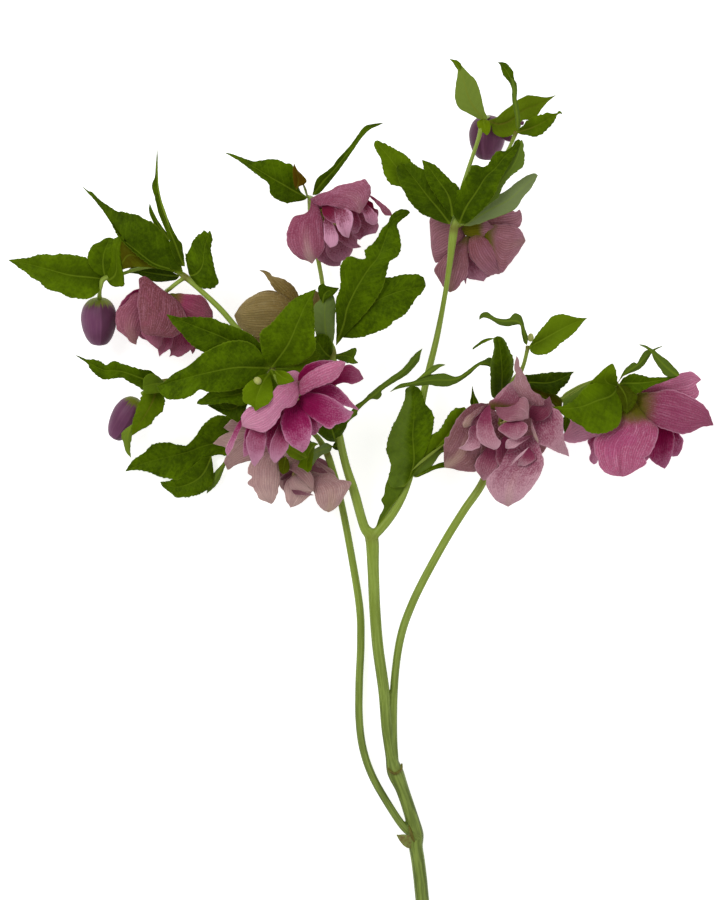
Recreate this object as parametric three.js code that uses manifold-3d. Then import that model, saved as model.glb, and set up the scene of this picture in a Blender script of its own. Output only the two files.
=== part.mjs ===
// A cut spray of double hellebore, lying on a flat surface. Millimetres, +Z up.
// One branched stem carries eight nodding blooms, six buds and the leafy bracts under them.
// The origin is on the surface, under the thick end of the stem. +Y runs up the spray.
import * as THREE from "three";
import { mergeVertices } from "three/addons/utils/BufferGeometryUtils.js";
import Module from "manifold-3d";

const wasm = await Module();
wasm.setup();

// ---- Driving dimensions ----
const BLADE_THICK = 0.7; // leaves and petals
const STEM_RADIUS = 3.6; // at the thick end
const STEM_SIDES = 8;
const TWIG_SIDES = 5; // every thinner stem
const STEM_REST = STEM_RADIUS * Math.cos(Math.PI / STEM_SIDES); // its centre line above the surface
const STALK_RADIUS = 1.1; // under each bloom
const GAP = 0.35; // between pieces that touch
const RIB_STEPS = 64; // fine steps along every midrib
const LEAF_STATIONS = 8; // rows of corners along a leaf, and along one of its side lobes
const LOBE_STATIONS = 4;
const LEAF_COLUMNS = 2;
const PETAL_STATIONS = 3;
const PETAL_COLUMNS = 3;
const TOOTH_DEPTH = 0.1; // share of the half width cut away between two teeth
const CORE_RADIUS = 4.6; // the disc that a bloom's petals grow from
const CORE_THICK = 1.5; // half its thickness
const PETAL_RING = 3.4; // where the petals leave it
const PRESSED = 0.6; // how far the petals of the lying blooms turn flat, 1 being level
const PETAL_ARCH = [[0.3, 0.85], [0.65, 1]]; // along a petal, the share of its bulge it has there
const HEART = { across: 1.9, along: 1 }; // the small egg the stamens grow from
const STAMENS = 5;
const STAMEN_LENGTH = 8;
const STAMEN_LEAN = 0.28;
const STAMEN_RADII = [0.5, 0.7]; // at the foot and the tip
const FLAT = BLADE_THICK / 2; // middle of a blade that lies on the surface

// How a leaf and a petal are shaped where their table says nothing else.
const LEAF_SHAPE = { widest: 0.4, roundness: 0.75, claw: 0.9, fold: [18, 6], cup: [0, 0], roll: [0, 0],
  wave: 0.5, teeth: TOOTH_DEPTH };
const PETAL_SHAPE = { widest: 0.6, roundness: 0.5, claw: 2.8, fold: [0, 0], cup: [40, 24], wave: 0,
  teeth: 0, tipward: true };
const LEVEL = new THREE.Vector3(0, 0, 1);

const rad = THREE.MathUtils.degToRad;
const vec = (p) => new THREE.Vector3(...p);
const mix = (ends, t) => ends[0] + (ends[1] - ends[0]) * t;
const curveThrough = (points) => new THREE.CatmullRomCurve3(points.map(vec), false, "catmullrom", 0.5);

// ---- Solids ----
function solidFrom(vertices, faces) {
  return new wasm.Manifold(new wasm.Mesh({
    numProp: 3,
    vertProperties: new Float32Array(vertices.flatMap((v) => [v.x, v.y, v.z])),
    triVerts: new Uint32Array(faces.flat()),
  }));
}

// Joins solids that touch. Only the outer skin is kept, so a pocket sealed between two blades is filled.
function joined(solids) {
  const all = solids.reduce((sum, one) => sum.add(one));
  return all.decompose().reduce((largest, one) => (one.volume() > largest.volume() ? one : largest));
}

// Points along a rib, with the tangent and a normal that doesn't turn about it.
function ribFrames(points, up) {
  const at = curveThrough(points).getSpacedPoints(RIB_STEPS);
  const frames = [];
  let normal = up.clone();
  for (let k = 0; k <= RIB_STEPS; k++) {
    const tangent = at[Math.min(k + 1, RIB_STEPS)].clone().sub(at[Math.max(k - 1, 0)]).normalize();
    normal = normal.clone().addScaledVector(tangent, -normal.dot(tangent)).normalize();
    frames.push({ at: at[k], tangent, normal });
  }
  return frames;
}

// Share of the full width at t along a blade: rounded at the base, drawn out to the tip.
function widthAt(t, widest, roundness) {
  const tip = (roundness * (1 - widest)) / widest;
  return (t / widest) ** roundness * ((1 - t) / (1 - widest)) ** tip;
}

// A blade is a leaf's lobe or a petal: a sheet about a rib. It is folded along the rib by fold, curved
// across by cup and turned about it by roll, in degrees at its base and tip. left and right are its half
// widths, claw the half width it keeps at its base, and wave the height of its wavy edge.
function blade(o, stations, columns) {
  const frames = ribFrames(o.rib, o.up ?? LEVEL);
  const rows = [];
  for (let i = 0; i < stations; i++) {
    const t = o.tipward ? Math.sin((Math.PI * i) / (2 * stations)) : i / stations;
    const { at, tangent, normal } = frames[Math.round(t * RIB_STEPS)];
    const turned = normal.clone().applyAxisAngle(tangent, rad(mix(o.roll, t)));
    const side = tangent.clone().cross(turned);
    const notch = i % 2 ? 1 : 1 - o.teeth;
    const row = [];
    for (let j = 0; j <= columns; j++) {
      const u = (2 * j) / columns - 1;
      const width = (u < 0 ? o.left : o.right) * notch * widthAt(t, o.widest, o.roundness);
      const out = u * Math.max(o.claw * (1 - t), width);
      const bend = rad(mix(o.fold, t) + (mix(o.cup, t) * Math.abs(u)) / 2);
      const wave = o.wave * u * u * Math.sin(4 * Math.PI * t + (u < 0 ? 2 : 0));
      const point = at.clone().addScaledVector(side, out * Math.cos(bend));
      point.addScaledVector(turned, Math.abs(out) * Math.sin(bend) + wave);
      row.push(aboveSurface(point));
    }
    rows.push(row);
  }
  const end = frames[RIB_STEPS];
  return thickened(rows, aboveSurface(end.at.clone()), end.normal);
}

const aboveSurface = (p) => p.setZ(Math.max(p.z, FLAT));

// Gives a sheet of rows, which ends in one point, its thickness.
function thickened(rows, tip, tipNormal) {
  const columns = rows[0].length - 1;
  const last = rows.length;
  const at = (i, j) => (i === last ? tip : rows[i][j]);
  const vertices = [];
  const put = (p, n) => {
    vertices.push(p.clone().addScaledVector(n, FLAT));
    vertices.push(p.clone().addScaledVector(n, -FLAT));
  };
  rows.forEach((row, i) => row.forEach((p, j) => {
    const along = at(i + 1, j).clone().sub(at(Math.max(i - 1, 0), j));
    const across = row[Math.min(j + 1, columns)].clone().sub(row[Math.max(j - 1, 0)]);
    put(p, across.cross(along).normalize());
  }));
  put(tip, tipNormal);
  const top = (i, j) => 2 * (i === last ? last * (columns + 1) : i * (columns + 1) + j);
  const low = (i, j) => top(i, j) + 1;
  const faces = [];
  const wall = (a, b) => faces.push([a, a + 1, b + 1], [a, b + 1, b]);
  for (let i = 0; i < last; i++) {
    for (let j = 0; j < columns; j++) {
      faces.push([top(i, j), top(i, j + 1), top(i + 1, j + 1)],
        [low(i, j), low(i + 1, j + 1), low(i, j + 1)]);
      if (i + 1 < last)
        faces.push([top(i, j), top(i + 1, j + 1), top(i + 1, j)],
          [low(i, j), low(i + 1, j), low(i + 1, j + 1)]);
    }
    wall(top(i, columns), top(i + 1, columns));
    wall(top(i + 1, 0), top(i, 0));
  }
  for (let j = 0; j < columns; j++) wall(top(0, j), top(0, j + 1));
  return solidFrom(vertices, faces);
}

// A round tube through points [x, y, z, radius], closed at both ends, with one facet facing straight down.
function tube(points, sides) {
  const curve = curveThrough(points.map(([x, y, z]) => [x, y, z]));
  const last = points.length - 1;
  const vertices = [];
  let normal = LEVEL.clone();
  points.forEach(([x, y, z, radius], k) => {
    const tangent = curve.getTangent(k / last);
    normal = normal.addScaledVector(tangent, -normal.dot(tangent)).normalize();
    const side = tangent.clone().cross(normal);
    for (let s = 0; s < sides; s++) {
      const a = (2 * Math.PI * (s + 0.5)) / sides;
      const out = normal.clone().multiplyScalar(-Math.cos(a)).addScaledVector(side, -Math.sin(a));
      vertices.push(new THREE.Vector3(x, y, z).addScaledVector(out, radius));
    }
  });
  const faces = [];
  for (let k = 0; k < last; k++)
    for (let s = 0; s < sides; s++) {
      const a = k * sides + s;
      const b = k * sides + ((s + 1) % sides);
      faces.push([a, b, b + sides], [a, b + sides, a + sides]);
    }
  for (let s = 1; s < sides - 1; s++)
    faces.push([0, s + 1, s], [last * sides, last * sides + s, last * sides + s + 1]);
  return solidFrom(vertices, faces);
}

// A ball or an egg, stretched and stood along an axis.
function egg(centre, axis, across, along, detail) {
  const geometry = new THREE.SphereGeometry(1, detail, Math.floor(detail / 2) + 1);
  geometry.scale(across, along, across);
  const turn = new THREE.Quaternion().setFromUnitVectors(new THREE.Vector3(0, 1, 0), vec(axis).normalize());
  geometry.applyQuaternion(turn).translate(...centre);
  geometry.deleteAttribute("normal");
  geometry.deleteAttribute("uv");
  const merged = mergeVertices(geometry, 1e-4);
  const triVerts = new Uint32Array(merged.index.array);
  return new wasm.Manifold(new wasm.Mesh({
    numProp: 3,
    vertProperties: merged.attributes.position.array,
    triVerts,
  }));
}

// ---- The branched stem: every run is [x, y, z, radius], thicker at each ring of bracts ----
const stemRuns = [
  // the thick end, the sheath, the collar that three stems leave, the fork, the ring behind the great lobed
  // leaf, and the ring above the crown bloom
  [[0.6, -6, STEM_REST, STEM_RADIUS], [0.6, 5, STEM_REST, STEM_RADIUS],
    [0.6, 11, STEM_REST, STEM_RADIUS], [-0.8, 19, 3.7, 3.5], [-2, 26, 4.2, 3.6], [-2.3, 32, 4.8, 4.3],
    [-3.9, 40, 5.6, 3.5], [-8.5, 54, 7.2, 3.4], [-12.3, 63.5, 8, 4.2], [-14.6, 72, 8.5, 2.6],
    [-16.6, 86, 9.5, 2.6], [-18, 104, 10.5, 2.5], [-21, 126, 12, 2.5], [-22.6, 146, 13.5, 2.4],
    [-23.4, 166, 15.5, 2.5], [-24.2, 181, 17, 3.2], [-28, 187, 18, 2.3], [-33, 204.5, 22, 2.2],
    [-37.5, 219, 24, 2.1], [-41.5, 238, 26, 2.1], [-43.7, 256, 28, 2], [-43.7, 273, 29, 3],
    [-45.5, 282, 25, 1.3], [-48.8, 308, 12, 1.2], [-50.8, 319.5, 7, 1.2], [-54.5, 338, 8, 1.2],
    [-54.6, 351.2, 20, 2.6]],
  // the thin stem on the left, to the ring above the pale bloom
  [[-2.5, 31, 5, 1.6], [-7.8, 35.5, 6.5, 1.8], [-14.6, 45.3, 7, 1.8], [-23.2, 60.5, 6, 1.8],
    [-28.4, 74.7, 5, 1.8], [-30.2, 90, 5, 1.8], [-29.8, 108, 5, 1.7], [-29.2, 128, 5, 1.8],
    [-30.3, 147, 5, 1.8], [-35.3, 177.6, 6, 1.8], [-40.3, 202.6, 6, 1.8], [-43.4, 214, 7.5, 1.8],
    [-46, 224, 12, 2.6]],
  // the side branch to the ring behind the pink bloom, on to the two rings on the far left, and the left
  // bud
  [[-41.5, 238, 26, 1.8], [-52, 251, 32, 1.7], [-64, 261, 40, 1.8], [-73.7, 265.4, 45, 3],
    [-80.8, 275.8, 41, 1.6], [-90, 284.2, 38, 1.5], [-99.7, 295.4, 37, 1.5], [-110.7, 305.7, 36, 1.4],
    [-117, 311.3, 34, 2.5], [-122.5, 314.5, 33.5, 1.1], [-131.5, 316.6, 32.5, 1],
    [-141, 315.4, 31.5, 1], [-150, 312.6, 30, 1], [-158.2, 310.5, 28, 2.2], [-160, 305, 25, 1.1],
    [-160.3, 302.2, 23.4, 1.4]],
  // to the ring above the lower bud
  [[-73.7, 265.4, 45, 1.8], [-86, 262, 36, 1.4], [-105, 260, 27, 1.3], [-128, 259, 24, 2.3],
    [-135, 255.5, 20, 1.2], [-139.4, 252.9, 18, 1.3]],
  // the right branch, under the forked leaf, to the tall ring, the topmost one and the top bud
  [[-24.2, 181, 17, 2.2], [-12, 196, 14, 1.7], [-4, 222, 12.5, 1.5], [2.5, 256.3, 15, 1.3],
    [8.2, 280.3, 20, 1.3], [12, 300, 28, 1.5], [14.5, 316, 34, 1.7], [16.9, 335.5, 37, 3],
    [20.5, 354, 38, 1.1], [23.8, 364.5, 37, 1.1], [29, 380, 35, 1.1], [31.5, 389.5, 34, 2.2],
    [34.6, 394, 28, 1.1], [34.8, 393.6, 22.8, 1.4]],
  [[16.9, 335.5, 37, 1.2], [33, 356, 35.5, 1], [44, 375, 36, 0.9], [48, 383.9, 38, 1.6]],
  // the stem on the right, under the double bloom, and what leaves its ring
  [[-12.3, 63.5, 8, 2.2], [-13.2, 80.6, 8, 1.9], [-13.2, 100, 8, 1.9], [-11.8, 118, 8, 1.9],
    [-9, 133.5, 8, 1.9], [-4.4, 146.5, 8, 1.9], [2, 160, 8, 1.9], [13, 180, 9, 1.9],
    [22, 194.5, 9.5, 2], [32, 209.7, 10, 2], [39, 230, 11, 1.8], [45, 255, 14, 2.8],
    [51.1, 265.5, 17, 0.9], [53.6, 274.5, 20, 0.9], [54, 277.2, 20, 1.6]],
  [[45, 255, 14, 1.6], [57, 250, 9, 1.6], [68, 249, 9, 1.6], [80.3, 255.3, 16, 1.6],
    [90, 259.5, 23, 1.6], [98.5, 257.5, 28, 2.7]],
];

// the sheaths of two fallen leaves, where stems part
const stemSheaths = [
  { rib: [[-3.4, 25.5, 6], [-7, 28, 7.5], [-11.6, 31.9, 7]], left: 2, right: 4 },
  { rib: [[-11, 60, 11], [-10, 64, 12], [-8.6, 67.6, 10]], left: 2.5, right: 2.5 },
];

// ---- Leaves: each is one or more lobes about a rib [x, y, z] from base to tip ----
const leaves = {
  far_left_leaf: [
    { rib: [[-161.3, 310.9, 29], [-177, 314.6, 34], [-192, 317, 33],
      [-206, 320, 27]], left: 14, right: 10, widest: 0.35, roundness: 0.6 },
  ],
  folded_leaf: [
    { rib: [[-156.8, 313.4, 31], [-157, 320, 35], [-154, 326, 37],
      [-147.5, 331, 37]], left: 8.5, right: 5.5 },
    { from: 0.08, rib: [[-151.5, 309.6, 34.5], [-149, 318, 38]], left: 4.2, right: 4.5, teeth: 0 },
  ],
  up_left_leaf: [
    { rib: [[-120.1, 313.2, 35.7], [-126, 320, 40], [-137, 326, 43], [-148, 335.8, 43], [-157, 345, 40],
      [-168.8, 356.8, 33]], left: 11, right: 13, widest: 0.36 },
    { from: 0.22, rib: [[-130.5, 334, 44], [-135, 347.6, 44]], left: 3, right: 3, teeth: 0 },
  ],
  upright_leaf: [
    { rib: [[-117.2, 314.6, 37], [-119.2, 320, 45], [-122, 329, 50], [-128, 344, 52], [-132, 358, 52],
      [-130.7, 375.6, 46]], left: 3.2, right: 3.8, teeth: 0 },
  ],
  drooping_leaf: [
    { rib: [[-113.4, 310.8, 36.2], [-110, 310, 38], [-108, 317, 40], [-108.5, 326, 40],
      [-106, 335.2, 37]], left: 7.5, right: 7.5, widest: 0.38, roundness: 0.5 },
  ],
  small_dark_leaf: [
    { rib: [[-120.6, 312.4, 31.6], [-129, 312, 28.5], [-140, 313, 25]], left: 2.3, right: 2.3, teeth: 0 },
  ],
  dark_leaf: [
    { rib: [[-78.9, 267.6, 45.4], [-86, 272, 50], [-95, 279.5, 52], [-109, 284.5, 53],
      [-126.2, 292.5, 53]], left: 9, right: 8 },
  ],
  great_left_leaf: [
    { rib: [[-77.3, 265.6, 46.5], [-92, 265, 56], [-109, 259.5, 61], [-121, 256.5, 60],
      [-130, 256.5, 57]], left: 10.5, right: 14.5, widest: 0.35 },
    { from: 0.12, rib: [[-96, 254, 55], [-111, 247.5, 54]], left: 6, right: 5 },
    { from: 0.06, rib: [[-89, 251, 49.5], [-100, 240.5, 47]], left: 5.5, right: 5.5 },
  ],
  front_leaf: [
    { rib: [[-75.3, 261.8, 48], [-78.5, 257, 62], [-80, 251, 70],
      [-81.7, 244, 71]], left: 6.5, right: 7, widest: 0.5 },
  ],
  upper_leaf: [
    { rib: [[-71.2, 268.4, 47], [-66, 279, 56], [-61.5, 292, 60],
      [-55, 304.8, 57]], left: 12, right: 13, widest: 0.34, roundness: 0.5 },
    { from: 0.04, rib: [[-63, 268.6, 50], [-52.5, 273.5, 49.5]], left: 4.5, right: 4.5 },
  ],
  curly_leaf: [
    { rib: [[-130.9, 259.6, 25], [-145, 262.7, 30], [-158, 265, 32],
      [-172.2, 272.3, 27]], left: 5.4, right: 5.4, roll: [0, 25] },
  ],
  hanging_leaf: [
    { rib: [[-130, 256.6, 26], [-135.8, 247.5, 34], [-140.8, 237, 34], [-145.8, 228, 30],
      [-144.4, 220.9, 25]], left: 6.3, right: 5.4, widest: 0.35 },
  ],
  low_left_leaf: [
    { rib: [[-49.2, 225.8, 11.5], [-56, 229.5, 7], [-66, 232, 4], [-84, 231, 3], [-104, 227, 4],
      [-124.3, 219.8, 7], [-148, 213.6, 2]], left: 10, right: 9, widest: 0.72, roundness: 3.5,
      claw: 1.5 },
    { from: 0.45, rib: [[-101, 236, 6], [-99, 243.5, 5]], left: 7, right: 6 },
    { from: 0.48, rib: [[-105, 213.5, 6], [-117, 206, 6], [-130.5, 207.5, 2]], left: 6.8,
      right: 6, widest: 0.55 },
  ],
  lobed_leaf: [
    { rib: [[-42.5, 276.2, 31], [-40, 284, 39], [-34, 300, 47], [-26, 313, 51], [-17, 329, 51],
      [-12.3, 338, 48], [-4.6, 344.3, 42]], left: 8, right: 9, widest: 0.5 },
    { from: 0.12, rib: [[-26, 292.5, 45], [-11, 302.3, 47], [3, 308.5, 42]], left: 11.5,
      right: 11.5, widest: 0.52 },
    { from: 0.1, rib: [[-39, 300, 43], [-36, 321.5, 42]], left: 5.5, right: 5, widest: 0.55 },
  ],
  strip_leaf: [
    { rib: [[-47, 274.9, 30.8], [-49.5, 288, 37], [-48.5, 307, 38]], left: 5.5, right: 5,
      widest: 0.5, roundness: 0.5 },
  ],
  little_leaf: [
    { rib: [[-40.3, 272.4, 29.5], [-36, 271.4, 31], [-30.5, 270.5, 30]], left: 4, right: 4 },
  ],
  narrow_leaf: [
    { rib: [[-43.4, 226.7, 14], [-33.8, 242, 20], [-22.5, 252.7, 25], [-15.5, 258.3, 26],
      [-7, 266.5, 25], [1.3, 275.2, 22]], left: 3.2, right: 3.2, widest: 0.5, teeth: 0 },
    { from: 0.05, rib: [[-40, 228, 17], [-37.5, 225, 18]], left: 1.8, right: 1.8, teeth: 0 },
  ],
  forked_leaf: [
    { rib: [[-22.3, 185.2, 21], [-16, 197, 24], [-8.8, 209, 26], [-4.4, 222, 27], [-3, 240, 26],
      [-4, 257.5, 23]], left: 12, right: 10, widest: 0.64, roundness: 1.1 },
    { from: 0.42, rib: [[5, 227, 27], [15, 237.5, 26], [26.1, 256.3, 23]], left: 6.5, right: 6.5 },
    { from: 0.34, rib: [[2, 214.5, 25.5], [13, 219, 23]], left: 4, right: 4 },
  ],
  long_leaf: [
    { rib: [[42.3, 256.9, 15.5], [37.5, 265, 24], [29.3, 268.8, 30], [17.3, 260.5, 33],
      [3.9, 260.5, 32], [-5.9, 258.4, 30], [-15.1, 254, 27]], left: 3.2, right: 3, teeth: 0 },
    { from: 0.72, rib: [[6.5, 264.5, 33], [12.7, 267.6, 32]], left: 1.8, right: 1.8, teeth: 0 },
  ],
  bent_leaf: [
    { rib: [[44.3, 258.2, 17], [39.5, 263, 26], [39.8, 272, 37],
      [38.4, 281.6, 41]], left: 6, right: 5.8, widest: 0.5 },
    { from: 0.92, rib: [[33, 281.5, 41], [26.1, 275.4, 38]], left: 2, right: 2, teeth: 0 },
  ],
  mini_left_leaf: [
    { rib: [[53, 279.2, 21.5], [50.8, 286, 29], [45.5, 291.5, 33], [38, 290, 33],
      [29.6, 290.4, 28]], left: 2.8, right: 3, teeth: 0 },
  ],
  mini_right_leaf: [
    { rib: [[56.3, 277.2, 21.5], [64, 280.5, 27], [74, 286, 29],
      [83.9, 290.7, 27]], left: 9.5, right: 8 },
  ],
  dark_right_leaf: [
    { rib: [[48.4, 257, 17], [57, 259.5, 22], [68, 261, 23], [77.2, 264, 23]], left: 4, right: 6 },
  ],
  olive_leaf: [
    { rib: [[48.6, 254.6, 15], [58, 254.5, 15], [71, 249, 14]], left: 4, right: 4 },
  ],
  great_right_leaf: [
    { rib: [[97.5, 254.3, 30.5], [95, 251, 40], [87, 248, 46], [77, 245, 45],
      [65.5, 246.6, 38]], left: 14, right: 13, widest: 0.35 },
    { from: 0.15, rib: [[94.5, 260, 43], [95.8, 268.4, 43]], left: 5, right: 4 },
  ],
  tipped_leaf: [
    { rib: [[101.7, 257.7, 29], [112, 258.5, 36], [122, 260.5, 38],
      [131, 264.5, 36]], left: 4.4, right: 4.4 },
    { from: 0.85, rib: [[123, 268.5, 41], [116.5, 273.5, 42], [109.1, 277.7, 39]], left: 3,
      right: 3, teeth: 0 },
  ],
  slim_leaf: [
    { rib: [[99.4, 260.7, 29], [103.5, 264.5, 33], [109.5, 268, 35], [114, 272.8, 36],
      [121.3, 276.9, 34]], left: 2.2, right: 2.2, teeth: 0 },
  ],
  tall_left_leaf: [
    { rib: [[14.4, 338.4, 39], [9, 346, 44], [2, 354, 46], [-9, 366.5, 44]], left: 10, right: 8.5,
      widest: 0.5 },
    { from: 0.14, rib: [[11, 353, 50], [2.5, 369.4, 50]], left: 6.5, right: 8.5, widest: 0.5 },
    { from: 0.4, rib: [[-9.5, 364, 41], [-22.6, 378.2, 38]], left: 8, right: 8, widest: 0.5 },
  ],
  tall_right_leaf: [
    { rib: [[20.2, 338, 39.5], [27, 349, 48], [35, 361, 50], [44, 370, 49],
      [50.5, 380, 45]], left: 10, right: 10.5, widest: 0.48 },
  ],
  tall_low_leaf: [
    { rib: [[20.5, 335.2, 38], [33, 342, 40], [46, 351.5, 41], [58.9, 362.3, 39]], left: 6, right: 6 },
  ],
  top_left_leaf: [
    { rib: [[30.2, 391.6, 35.5], [25.5, 398, 41], [22.5, 408, 42],
      [14.7, 420, 38]], left: 7.6, right: 6.6 },
  ],
  top_right_leaf: [
    { rib: [[34, 389.2, 34.5], [45, 390, 31], [57, 395.5, 31], [68.1, 402.4, 30]], left: 9, right: 8 },
  ],
  twisted_leaf: [
    { rib: [[47.8, 386, 39], [47.5, 393, 46], [47.2, 401, 48], [45, 410, 48],
      [38, 418.6, 44]], left: 2.7, right: 2.9, widest: 0.7, teeth: 0 },
  ],
  small_low_leaf: [
    { rib: [[50, 383.8, 38.6], [58, 386.7, 41], [64, 389, 41], [70.8, 392.7, 38]], left: 4.8,
      right: 4.8 },
  ],
  crown_left_leaf: [
    { rib: [[-57.4, 351.8, 20.6], [-65, 358, 26], [-75, 363.3, 31], [-84, 368, 31],
      [-97.7, 373.8, 26]], left: 10.5, right: 10, widest: 0.34 },
  ],
  crown_brown_leaf: [
    { rib: [[-55.8, 353.6, 21.4], [-58.5, 358, 33], [-62.7, 368, 38]], left: 2.6, right: 2.6, teeth: 0 },
  ],
  crown_right_leaf: [
    { rib: [[-52.7, 353.4, 21], [-47, 360.5, 27], [-37, 372.5, 31], [-27, 385, 31],
      [-18, 388.2, 28]], left: 3, right: 3, teeth: 0 },
  ],
};

// ---- Blooms: the disc's centre, the way the mouth looks, the stalk [x, y, z] from its ring of bracts, and
// petals [tip x, y, z, half width, bulge] ----
const blooms = {
  left_bloom: {
    colour: "mauve", centre: [-127.5, 304.2, 24], mouth: [-0.18, -0.93, -0.3],
    stalk: [[-117, 311.3, 34], [-121.5, 309.8, 32]],
    petals: [[-131, 280, 42, 13, 9], [-146, 279, 30, 11, 12], [-106, 288, 26, 10, 8],
      [-114, 273.5, 32, 9, 6], [-127, 271, 22, 11, 6], [-141, 279, 10, 10, 7], [-124, 277, -4, 11, 10]],
  },
  tan_bloom: {
    colour: "olive", centre: [-60.5, 292.5, 17], mouth: [-0.95, 0.15, -0.2],
    stalk: [[-43.7, 273, 29], [-50, 286, 20]],
    petals: [[-80.2, 315, 20, 5.5, 3], [-92.7, 292, 22, 9.5, 6], [-84, 282, 12, 6, 4],
      [-83, 299, 6, 8, 6], [-84, 290, 0, 8, 6]],
  },
  crown_bloom: {
    colour: "magenta", centre: [-51, 345.5, 29], mouth: [0.62, -0.7, 0.35],
    stalk: [[-54.6, 351.2, 20], [-55, 350.6, 25]],
    petals: [[-54, 318, 36, 11, 7], [-25.5, 356, 34, 7.5, 3], [-44, 323, 44, 7, 4],
      [-35, 331, 48, 7.5, 5], [-22, 338, 42, 7, 5], [-14, 344.5, 30, 3.5, 3], [-28.5, 328, 28, 8, 4],
      [-40, 317, 26, 8, 3], [-33, 338, 10, 9, 8], [-42, 326, 12, 7, 5]],
  },
  tall_bloom: {
    colour: "mauve", centre: [28.5, 334, 25], mouth: [-0.1, -0.8, -0.55],
    stalk: [[16.9, 335.5, 37], [22, 338.6, 34], [26.5, 339, 30]],
    petals: [[6, 326, 18, 9.5, 5], [10.5, 306.5, 16, 10.5, 6], [27, 308.5, 22, 9.5, 6],
      [42, 314.5, 18, 9.5, 6], [53, 329, 16, 9, 5], [51, 344.5, 14, 7, 3], [30, 317, -1, 10, 7]],
  },
  pink_bloom: {
    colour: "magenta", centre: [-65, 253.6, 54], mouth: [0.5, -0.76, 0.42],
    stalk: [[-73.7, 265.4, 45], [-71.5, 262.8, 48.5]],
    petals: [[-88.5, 237, 62, 9, 6], [-37, 268.3, 66, 6.5, 3], [-28.5, 261, 58, 6.5, 4],
      [-30, 244.5, 66, 7.5, 5], [-42, 235.5, 70, 8, 5], [-59, 224, 66, 8.5, 5],
      [-71.2, 218.5, 60, 6.5, 4], [-82.5, 217, 52, 5.5, 3], [-96, 221.5, 53, 3.6, 3],
      [-50, 243, 76, 5.5, 3], [-50, 228, 50, 9, 4]],
  },
  pale_bloom: {
    colour: "pale", centre: [-61, 224, 20], mouth: [0.02, -0.92, -0.2],
    stalk: [[-46, 224, 12], [-48.5, 227.5, 18], [-55, 231, 21]],
    petals: [[-103.6, 228.5, 16, 6, 3], [-97.5, 215.5, 14, 7.5, 3], [-75.5, 197.6, 20, 9.5, 4],
      [-64, 196, 25, 7.5, 4], [-45.5, 193.7, 20, 8.5, 4], [-35.2, 206, 17, 6, 3], [-84, 208, 10, 7, 4],
      [-62, 203, -3, 10, 6]],
  },
  double_bloom: {
    colour: "mauve", centre: [43, 240, 22], mouth: [0, -0.3, 0.95],
    stalk: [[45, 255, 14], [44.5, 248, 14.5]],
    petals: [[48.5, 271.7, 38, 4.5, 1], [60, 253, 36, 6.5, 3], [70, 243, 30, 8, 3],
      [73.7, 221.5, 32, 10, 4], [56, 209, 28, 7, 3], [44.5, 196.8, 31, 13, 3], [27, 209.5, 30, 9, 3],
      [11.8, 222, 35, 14, 3], [26, 244, 34, 6.5, 3], [38, 252, 48, 6.5, 3], [51.5, 252, 52, 7.5, 3],
      [32, 227, 50, 8.5, 3], [53, 225, 51, 9, 3]],
  },
  right_bloom: {
    colour: "magenta", centre: [108.5, 247.5, 23], mouth: [0.2, -0.88, -0.35],
    stalk: [[98.5, 257.5, 28], [101.5, 256.2, 27.6], [104.8, 254, 26]],
    petals: [[101.5, 210.8, 28, 15, 6], [146.6, 238, 26, 10.3, 5], [139.5, 260.5, 18, 7, 4],
      [122.5, 216, 18, 9.5, 4], [135.5, 229, 14, 9, 5], [71.8, 231, 20, 8, 5], [85.5, 221, 14, 8.5, 6],
      [108, 214, -3, 10, 7]],
  },
};

// ---- Buds: centre, the way the tip hangs, half across, half along ----
const buds = {
  left_bud: { centre: [-160.6, 289.4, 19], mouth: [0, -0.98, -0.15], across: 9, along: 12 },
  low_bud: { centre: [-147.6, 240.8, 12.5], mouth: [-0.5, -0.85, -0.15], across: 7.4, along: 12 },
  top_bud: { centre: [33.8, 381.4, 19], mouth: [-0.06, -0.98, -0.2], across: 8.9, along: 11.4 },
};

// A side lobe leaves the first lobe's midrib at the share of its length that from gives.
function leaf(lobes) {
  const midrib = curveThrough(lobes[0].rib);
  return joined(lobes.map((lobe) => {
    const rib = lobe.from ? [midrib.getPointAt(lobe.from).toArray(), ...lobe.rib] : lobe.rib;
    return blade({ ...LEAF_SHAPE, ...lobe, rib }, lobe.from ? LOBE_STATIONS : LEAF_STATIONS, LEAF_COLUMNS);
  }));
}

// The angle about an axis, in degrees, that brings a normal nearest to the upright, whichever way it faces.
function turnToLevel(normal, axis) {
  const upright = LEVEL.clone().addScaledVector(axis, -axis.z).normalize();
  if (normal.dot(upright) < 0) upright.negate();
  return THREE.MathUtils.radToDeg(Math.atan2(axis.dot(normal.clone().cross(upright)), normal.dot(upright)));
}

// A petal leaves the ring about the mouth's axis towards its tip, and bulges away from that axis.
function petal(centre, mouth, [x, y, z, half, bulge]) {
  const tip = new THREE.Vector3(x, y, z);
  const chord = tip.clone().sub(centre);
  const outward = chord.clone().addScaledVector(mouth, -chord.dot(mouth)).normalize();
  const base = centre.clone().addScaledVector(outward, PETAL_RING);
  chord.copy(tip).sub(base);
  const along = chord.dot(mouth) / chord.length();
  const out = chord.dot(outward) / chord.length();
  const back = outward.clone().multiplyScalar(along).addScaledVector(mouth, -out);
  const arch = PETAL_ARCH.map(([t, share]) => base.clone().addScaledVector(chord, t)
    .addScaledVector(back, bulge * share).toArray());
  const rib = [base.toArray(), ...arch, tip.toArray()];
  const inward = back.negate();
  const turn = PRESSED * turnToLevel(inward, chord.normalize());
  const shape = { ...PETAL_SHAPE, rib, up: inward, roll: [turn / 2, turn], left: half, right: half };
  return blade(shape, PETAL_STATIONS, PETAL_COLUMNS);
}

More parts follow.
